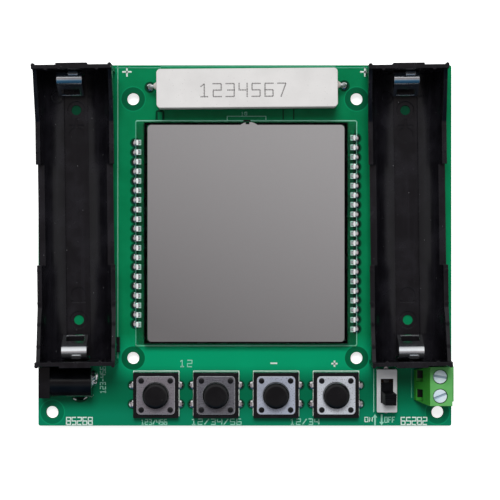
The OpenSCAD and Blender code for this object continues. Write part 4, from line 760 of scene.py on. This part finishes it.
dots, given, result = new_geometry_tree("dots", ("Spacing", "Dot size", "Thickness"))
places = node(dots, "GeometryNodeResampleCurve", {"Curve": given["Strokes"], "Length": given["Spacing"]},
              mode="LENGTH")
dot = node(dots, "GeometryNodeMeshCylinder",
           {"Vertices": 10, "Radius": given["Dot size"], "Depth": given["Thickness"]})
row = node(dots, "GeometryNodeInstanceOnPoints", {"Points": places.outputs[0], "Instance": dot.outputs[0]})
end_tree(dots, row.outputs[0], given, result)
print("ribbons", len(ribbons.nodes), "nodes, dots", len(dots.nodes), "nodes")


# %% From strokes to a finished piece
def draw(name, strokes, height, tree, material, slot_name, **sizes):
    """strokes are lists of (x, y) in mm, height is in mm, and sizes are the tree's inputs in mm."""
    curve = bpy.data.curves.new(name + "_strokes", "CURVE")
    curve.dimensions = "3D"
    for stroke in strokes:
        spline = curve.splines.new("POLY")
        spline.points.add(len(stroke) - 1)
        for point, (px, py) in zip(spline.points, stroke):
            point.co = (px * MM, py * MM, height * MM, 1)
    drawn = place(curve)
    maker = drawn.modifiers.new("maker", "NODES")
    maker.node_group = tree
    for item in tree.interface.items_tree:
        if item.in_out == "INPUT" and item.name in sizes:
            maker[item.identifier] = sizes[item.name] * MM
        elif item.in_out == "INPUT" and item.name == "Finish":
            maker[item.identifier] = material
    seen = drawn.evaluated_get(bpy.context.evaluated_depsgraph_get())
    data = bpy.data.meshes.new_from_object(seen)
    data.name = name
    bpy.data.objects.remove(drawn)
    piece = place(data)
    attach(piece, "board")
    print(name, len(strokes), "strokes,", len(data.polygons), "faces")


# %% Strokes for numbers and signs
# Each sign stands in a box that is 1 wide and 2 high
SIGNS = {"0": [[(0, 0), (1, 0), (1, 2), (0, 2), (0, 0)]],
         "1": [[(0.1, 1.6), (0.5, 2), (0.5, 0)], [(0.1, 0), (0.9, 0)]],
         "2": [[(0, 2), (1, 2), (1, 1), (0, 1), (0, 0), (1, 0)]],
         "3": [[(0, 2), (1, 2), (1, 0), (0, 0)], [(0.2, 1), (1, 1)]],
         "4": [[(0, 2), (0, 1), (1, 1)], [(1, 2), (1, 0)]],
         "5": [[(1, 2), (0, 2), (0, 1), (1, 1), (1, 0), (0, 0)]],
         "6": [[(1, 2), (0, 2), (0, 0), (1, 0), (1, 1), (0, 1)]],
         "7": [[(0, 2), (1, 2), (0.4, 0)]],
         "8": [[(0, 0), (1, 0), (1, 2), (0, 2), (0, 0)], [(0, 1), (1, 1)]],
         "N": [[(0, 0), (0, 2), (1, 0), (1, 2)]],
         "F": [[(0, 0), (0, 2), (1, 2)], [(0, 1), (0.8, 1)]],
         "+": [[(0, 1), (1, 1)], [(0.5, 0.5), (0.5, 1.5)]],
         "-": [[(0, 1), (1, 1)]],
         "/": [[(0, 0), (1, 2)]]}
SIGNS["O"] = SIGNS["0"]


def write(text, x, y, high, wide, step, upright=False):
    """Strokes of a line of signs. x, y is the lower left corner, or the lower right one for a line that
    reads upwards."""
    strokes = []
    for k, sign in enumerate(text):
        for stroke in SIGNS[sign]:
            line = [(k * step + a * wide, b * high / 2) for a, b in stroke]
            strokes.append([(x - b, y + a) if upright else (x + a, y + b) for a, b in line])
    return strokes


def box_outline(x0, y0, x1, y1):
    return [(x0, y0), (x1, y0), (x1, y1), (x0, y1), (x0, y0)]


print(len(SIGNS), "signs")

# %% [markdown]
# ## Ink on the board
# White ink marks the outline of each part and a few generic signs: plus and minus at the cell holders, ON
# and OFF at the switch, and plain numbers where the real board has words. The ink is 0.2 to 0.45 mm wide and
# stands a few hundredths of a millimetre on the mask. It looks fresh and white in some places, and thin or
# dim in others.

# %% Ink finishes: fresh, thin and dim
def thin_coat(name, light, dark, rough, grain_mm, by="Fine", bump=0.2, **sockets):
    """A layer that has no thickness to speak of: two tones that follow a grain, and a very low bump."""
    material, tree, shader = finish(name, rough, **sockets)
    texture = effect(tree, grain, Size_mm=grain_mm)
    paint(tree, shader, blend_colour(tree, texture[by], srgb(light), srgb(dark)))
    bumpy(tree, shader, texture["Fine"], bump, 0.01)
    return material


def ink(name, light, dark):
    return thin_coat(name, light, dark, 0.6, 0.2)


printed_ink = ink("printed_ink", "#f2faf6", "#d4eae0")
thin_ink = ink("thin_ink", "#a6dcc9", "#7fc4ac")
dim_ink = ink("dim_ink", "#5fb293", "#3f9a79")
print("inks")

# %% Outlines on the display side
BUTTON_X = [BUTTON_ROW[0] + (k - 1.5) * BUTTON_PITCH for k in range(4)]
INK_HEIGHT = BOARD_TOP + 0.012
LEFT_BAY_LINE, RIGHT_BAY_LINE = -33.85, 34.3
SWITCH_LINE = 34.32


def cut_outline(x0, y0, x1, y1, cut):
    """A box outline with its corners cut at 45 degrees."""
    return [(x0 + cut, y0), (x1 - cut, y0), (x1, y0 + cut), (x1, y1 - cut), (x1 - cut, y1), (x0 + cut, y1),
            (x0, y1 - cut), (x0, y0 + cut), (x0 + cut, y0)]


def draw_flat(name, strokes, height, material, width):
    draw(name, strokes, height, ribbons, material, "board_laminate", Width=width, Thickness=0.03)


def draw_ink(name, strokes, material, width):
    draw_flat(name, strokes, INK_HEIGHT, material, width)


outlines = [box_outline(x - 6.0, -49.9, x + 6.1, -37.95) for x in BUTTON_X]
draw_ink("board_outlines", outlines, printed_ink, 0.3)
draw_ink("switch_outline", [[(SWITCH_LINE, -37.4), (SWITCH_LINE, -48.9)]], thin_ink, 0.2)
bay_lines = [[(x, -34.5), (x, 43.2)] for x in (LEFT_BAY_LINE, RIGHT_BAY_LINE)]
draw_ink("bay_outlines", bay_lines, thin_ink, 0.2)
display_lines = [cut_outline(-29.05, -31.2, 29.75, 28.7, 0.3),
                 [(-4.7, 28.9), (-4.7, 29.9), (5.6, 29.9), (5.6, 28.9)]]
draw_ink("display_outline", display_lines, thin_ink, 0.3)
faint = [[(-34.4, 42.8), (-22.4, 42.8)], [(23.6, 42.8), (34.3, 42.8)],
         [(-22.9, 41.0), (-22.4, 43.1), (24.0, 43.1), (24.4, 41.0)], [(44.37, -37.4), (44.37, -45.1)]]
draw_ink("faint_lines", faint, dim_ink, 0.25)

# %% Arrows at the switch
ON_ARROW, OFF_ARROW = 34.65, 36.42
HEAD_HALF = 0.62


def arrow_head(x, back, tip):
    """The corners of a solid arrow head."""
    return [(x - HEAD_HALF, back), (x + HEAD_HALF, back), (x, tip)]


shafts = [[(ON_ARROW, -52.4), (ON_ARROW, -50.3)], [(OFF_ARROW, -49.55), (OFF_ARROW, -51.6)]]
draw_ink("arrow_shafts", shafts, thin_ink, 0.45)
heads = bmesh.new()
for corners in (arrow_head(ON_ARROW, -50.35, -49.4), arrow_head(OFF_ARROW, -51.5, -52.45)):
    face = heads.faces.new([heads.verts.new(Vector((px, py, INK_HEIGHT + 0.02)) * MM) for px, py in corners])
    grown = bmesh.ops.extrude_face_region(heads, geom=[face])["geom"]
    lower = [v for v in grown if isinstance(v, bmesh.types.BMVert)]
    bmesh.ops.translate(heads, verts=lower, vec=(0, 0, -0.03 * MM))
arrow_heads = to_object(heads, "arrow_heads", thin_ink, smooth=False)
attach(arrow_heads, "board")
print("arrows at", ON_ARROW, OFF_ARROW)

# %% Signs on the display side
SIGNS_FOOT = -52.2
draw_ink("on_sign", write("ON", 31.95, -51.45, 1.2, 0.8, 1.2), printed_ink, 0.24)
labels = write("OFF", 37.25, -51.65, 1.4, 0.65, 1.0)
labels += write("123/456", -27.6, SIGNS_FOOT, 1.35, 0.7, 1.02)
labels += write("12/34/56", -14.2, SIGNS_FOOT, 1.5, 1.15, 1.72)
labels += write("12/34", 12.1, SIGNS_FOOT, 1.5, 1.1, 1.62)
labels += write("10", -0.9, 30.2, 0.8, 0.5, 0.9)
labels += write("123-456", -37.15, -43.8, 1.35, 0.7, 1.05, upright=True)
labels += write("12", -17.3, -36.8, 1.7, 1.2, 2.0)
draw_ink("board_signs", labels, thin_ink, 0.32)
corner_signs = write("85268", -47.5, SIGNS_FOOT, 1.9, 1.05, 1.45)
corner_signs += write("65282", 41.6, SIGNS_FOOT, 1.9, 1.05, 1.45)
draw_ink("corner_signs", corner_signs, printed_ink, 0.36)
poles = write("+", -32.67, 39.2, 5.0, 2.5, 3) + write("+", 30.7, 39.2, 5.0, 2.5, 3)
poles += write("-", 6.8, -36.7, 1.6, 1.8, 3) + write("+", 23.05, -37.6, 3.2, 1.6, 3)
draw_ink("board_poles", poles, printed_ink, 0.45)

# %% [markdown]
# ## Bright tops of the display pins
# Each pin is folded over the ledge of the glass. The fold mirrors the room as one white bar, and the jaw
# inside it shows pale green. Both are painted reflections: thin strips that lie on the solid pins, in a
# colour of their own.

# %% Folds and jaws
def pin_row(count):
    """The places of a column of display pins along Y."""
    return [DISPLAY_MIDDLE[1] + (k - (count - 1) / 2) * PIN_PITCH for k in range(count)]


PIN_TOP = BOARD_TOP + 3.2
FOLD_OUT = 28.8
FOLD_HALF, JAW_HALF = 0.7, 0.6
JAW_NEAR, JAW_FAR = 0.35, 0.95
folds, jaws = [], []
for side, count in ((-1, PINS_LEFT), (1, PINS_RIGHT)):
    for py in pin_row(count):
        px = DISPLAY_MIDDLE[0] + side * FOLD_OUT
        near, far = px - side * JAW_NEAR, px - side * JAW_FAR
        low, high = py - JAW_HALF, py + JAW_HALF
        folds.append([(px, py - FOLD_HALF), (px, py + FOLD_HALF)])
        jaws.append([(near, high), (far, high), (far, low), (near, low)])
painted_highlight = ink("painted_highlight", "#ffffff", "#e6e9ea")
painted_jaw_reflection = ink("painted_jaw_reflection", "#bfe4da", "#98c9bb")
draw("pin_folds", folds, PIN_TOP + 0.06, ribbons, painted_highlight, "tinned_wire", Width=0.5, Thickness=0.1)
draw("pin_jaws", jaws, PIN_TOP + 0.04, ribbons, painted_jaw_reflection, "tinned_wire", Width=0.3, Thickness=0.06)

# %% [markdown]
# ## Solder on the jack's rear tab
# The rear tab of the power jack was soldered by hand, and too much solder stands round it as a lumpy dome. A
# ball is flattened below the board's face and pushed in and out by a smooth noise. Where solder ends on the
# pads, its thin rim gets a painted highlight.

# %% Lumpy solder
def solder_lump(name, cx, cy, half_x, half_y, high):
    ball = bmesh.new()
    bmesh.ops.create_uvsphere(ball, u_segments=48, v_segments=24, radius=1)
    for vertex in ball.verts:
        swell = 1 + 0.45 * noise.noise(vertex.co * 2.3) + 0.12 * noise.noise(vertex.co * 7)
        vertex.co = Vector((cx + half_x * vertex.co.x * swell, cy + half_y * vertex.co.y * swell,
                            BOARD_TOP + max(vertex.co.z, 0) * high * swell)) * MM
    lump = to_object(ball, name, solder)
    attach(lump, "board")
    print(name, len(lump.data.polygons), "faces")


solder_lump("jack_tab_solder", -40.6, -39.9, 1.35, 2.2, 2.4)
# Painted highlight on the rims of the pads
rims = [[(-45.7, -45.3), (-44.9, -45.6)], [(-42.98, -45.35), (-42.05, -44.9)],
        [(-41.6, -44.6), (-40.85, -44.65), (-40.45, -44.2)]]
draw("pad_rims", rims, BOARD_TOP + 0.05, ribbons, painted_highlight, "solder", Width=0.35, Thickness=0.1)

# %% [markdown]
# ## Copper tracks
# Copper under the mask shows as soft raised lines of a slightly different green. On the display side a few
# run between the resistor and the display. Underneath, they fan out from the driver chip to the display
# pins and from the controller to the buttons, with straight runs and 45 degree corners.

# %% Track finish
def track_finish(name, light, dark):
    return thin_coat(name, light, dark, 0.15, 0.4, by="Broad", bump=0.1, Specular_IOR_Level=0.12)


track_pale = track_finish("track_pale", "#0a9462", "#068a58")
track_dark = track_finish("track_dark", "#024a30", "#03402a")
print("track finishes")

# %% Tracks on the display side
TRACK_HEIGHT = BOARD_TOP + 0.006
short_tracks = [[(x, 32.4), (x, 29.0)] for x in (10.2, 13.0)]
loop = [[(-23.5, 28.9), (-23.5, 31.0), (-23.2, 31.3), (-22.0, 31.3), (-21.7, 31.0), (-21.7, 28.9)]]
draw_flat("tracks_top", short_tracks, TRACK_HEIGHT, track_dark, 0.35)
draw_flat("track_loop", loop, TRACK_HEIGHT, track_dark, 0.6)


# %% Tracks underneath
def dogleg(x0, y0, x1, y1):
    """A run along X, a 45 degree run in the middle, and a run along X to the end."""
    turn = abs(y1 - y0) * (1 if x1 > x0 else -1)
    middle = (x0 + x1) / 2
    return [(x0, y0), (middle - turn / 2, y0), (middle + turn / 2, y1), (x1, y1)]


TRACK_UNDER = -0.006
DRIVER_SIDE, DRIVER_MIDDLE, DRIVER_PITCH = -19.0, 2, 0.62
fans = []
for k, pin in enumerate(pin_row(PINS_LEFT)):
    fans.append(dogleg(-28.4, pin, DRIVER_SIDE, DRIVER_MIDDLE + (k - (PINS_LEFT - 1) / 2) * DRIVER_PITCH))
for pin in pin_row(PINS_RIGHT):
    if abs(pin - DRIVER_MIDDLE) > 2:
        fans.append(dogleg(28.4, pin, 22.5, pin * 0.86))
for k, x in enumerate(BUTTON_X):
    fans.append([(x - 6.2, -41.9), (x - 6.2, -37.9 + k), (11 + k * 1.3, -31 + k), (11 + k * 1.3, -17)])
fans.append([(-33.5, -43.2), (-33.5, -22), (-24, -12.5), (8.4, -12.5)])
fans.append([(19.6, -12), (31, -12), (37, -18), (37, -38)])
draw_flat("tracks_under", fans, TRACK_UNDER, track_pale, 0.4)
power = [[(-3.5, 35.5), (-3.5, 37.8), (-24.6, 37.8)], [(10.5, 35.5), (10.5, 37.2), (25.8, 37.2)],
         [(-44.5, 40.9), (-29.2, 40.9), (-25.8, 37.5)], [(43.4, 40.9), (30.4, 40.9), (27.0, 37.6)],
         [(-44, -33.5), (-38, -33.5), (-38, -40.4)], [(44, -33.5), (38.5, -33.5), (38.5, -37.8)]]
draw_flat("tracks_power", power, TRACK_UNDER, track_pale, 2.2)

# %% Ink underneath
under_ink = [box_outline(-18.3, -4.3, -5.7, 8.3), box_outline(6.9, -17.6, 21.1, -6.4)]
under_ink += [box_outline(t - 3.7, 26.9, t + 3.7, 35.2) for t in (-7, 7)]
under_ink += [box_outline(-36.2, -47.6, -30.8, -43.6), box_outline(-3.7, 16.9, 3.7, 21.1)]
draw_flat("under_outlines", under_ink, -0.012, printed_ink, 0.22)

# %% [markdown]
# ## Numbers on the resistor
# The marking on the ceramic is sprayed by an ink jet, so it is rows of grey dots. Plain numbers stand in for
# the real text, at the same size and place.

# %% Dotted numbers
CASE_TOP = BOARD_TOP + 0.5 + 9.4
NUMBERS_Y = 36.9
LEAN = math.radians(0.45)
dotted_ink = thin_coat("dotted_ink", "#757272", "#8a8786", 0.8, 0.2)


def leaned(a, b):
    """Turns a point with the resistor, which sits a little askew."""
    return (a * math.cos(LEAN) - b * math.sin(LEAN), NUMBERS_Y + a * math.sin(LEAN) + b * math.cos(LEAN))


numbers = write("1234567", -11.7, -2.3, 3.4, 2.1, 3.4)
numbers = [[leaned(a, b) for a, b in stroke] for stroke in numbers]
draw("resistor_numbers", numbers, CASE_TOP + 0.005, dots, dotted_ink, "resistor_ceramic", **{
    "Spacing": 0.38, "Dot size": 0.19, "Thickness": 0.02})

# %% [markdown]
# ## Studio
# The object lies on a plain white floor. A soft sun stands high behind the resistor, which gives the short
# shadows below each part, and shiny things mirror a room that is bright on that side. The floor and the
# world look white to the camera by themselves, so that no extra light falls on the object. Shiny things see
# the floor dark, because a white one shows as a bright band along the jack's barrel, and the photo has none.

# %% Floor
def rays(tree):
    """1 for rays from the camera and through glass."""
    seen = node(tree, "ShaderNodeLightPath").outputs
    return maths(tree, "MAXIMUM", seen["Is Camera Ray"], seen["Is Transmission Ray"])


FLOOR_HALF = 1.5
low = cad_box[0][2] - 0.0002
corners = [(a * FLOOR_HALF, b * FLOOR_HALF, low) for a, b in ((-1, -1), (1, -1), (1, 1), (-1, 1))]
floor_mesh = bpy.data.meshes.new("floor")
floor_mesh.from_pydata(corners, [], [(0, 1, 2, 3)])
floor = place(floor_mesh)
white_floor, tree, shader = finish("white_floor", 0.9, Specular_IOR_Level=0.1)
mirrored = node(tree, "ShaderNodeLightPath").outputs["Is Glossy Ray"]
paint(tree, shader, blend_colour(tree, mirrored, srgb("#f0f0f0"), srgb("#24282c")))
shader.inputs["Emission Color"].default_value = (1, 1, 1, 1)
tree.links.new(maths(tree, "MULTIPLY", rays(tree), 0.75), shader.inputs["Emission Strength"])
floor_mesh.materials.append(white_floor)
print("floor at", round(low / MM, 2), "mm")

# %% World
# What shiny things mirror, by angle: 0 is level towards the resistor, 90 straight up, 180 level the other
# way. The ramp starts with two stops, so the first and the last angle stand first.
ROOM = ((0, "#c6c6c6"), (180, "#1a3040"), (20, "#cfcfcf"), (38, "#ebebeb"), (54, "#ffffff"),
        (70, "#f4f4f4"), (78, "#f0f0f0"), (84, "#b0a8a8"), (90, "#857a7c"), (99, "#8a8486"),
        (108, "#a0a4a8"), (120, "#6d7f8c"), (130, "#35607d"), (144, "#264b66"), (162, "#24475f"))
bpy.context.scene.view_settings.view_transform = "Standard"
world = bpy.data.worlds.new("studio")
bpy.context.scene.world = world
world.use_nodes = True
tree = world.node_tree
even = tree.nodes["Background"]
even.inputs["Color"].default_value = (1, 1, 1, 1)
even.inputs["Strength"].default_value = 0.34
way = node(tree, "ShaderNodeSeparateXYZ", {0: node(tree, "ShaderNodeTexCoord").outputs["Generated"]}).outputs
height = maths(tree, "DIVIDE", maths(tree, "ARCTAN2", way["Z"], way["Y"]), math.pi)
room = node(tree, "ShaderNodeValToRGB", {"Fac": height})
for k, (degrees, shade) in enumerate(ROOM):
    stop = room.color_ramp.elements[k] if k < 2 else room.color_ramp.elements.new(degrees / 180)
    stop.position = degrees / 180
    stop.color = srgb(shade)
# The room is bright on the left and the right too, low down, and dark below the table's level
sideways = ramp(tree, maths(tree, "ABSOLUTE", way["X"]), 0.5, 0.85, 0.0, 0.85)
both = blend_colour(tree, sideways, room.outputs["Color"], srgb("#dcdcdc"))
below = blend_colour(tree, ramp(tree, way["Z"], -0.03, 0.0, 1.0, 0.0), both, srgb("#10161c"))
shown = node(tree, "ShaderNodeBackground", {"Color": below, "Strength": 1.0})
plain = node(tree, "ShaderNodeBackground", {"Color": (1, 1, 1, 1), "Strength": 1.0})
mirrored = node(tree, "ShaderNodeLightPath").outputs["Is Glossy Ray"]
lit = node(tree, "ShaderNodeMixShader", {0: mirrored, 1: even.outputs[0], 2: shown.outputs[0]})
mix = node(tree, "ShaderNodeMixShader", {0: rays(tree), 1: lit.outputs[0], 2: plain.outputs[0]})
tree.links.new(mix.outputs[0], tree.nodes["World Output"].inputs["Surface"])
print("room with", len(ROOM), "tones")

# %% Sun
SUN_PLACE = Vector((-0.02, 0.36, 1.0))
sun = place(bpy.data.lights.new("sun", "SUN"))
sun.data.energy = 2.1
sun.data.angle = math.radians(20)
sun.location = SUN_PLACE
sun.rotation_euler = (-SUN_PLACE).to_track_quat("-Z", "Y").to_euler()
# The room is what shiny things mirror, so the sun itself isn't mirrored as well
sun.visible_glossy = False
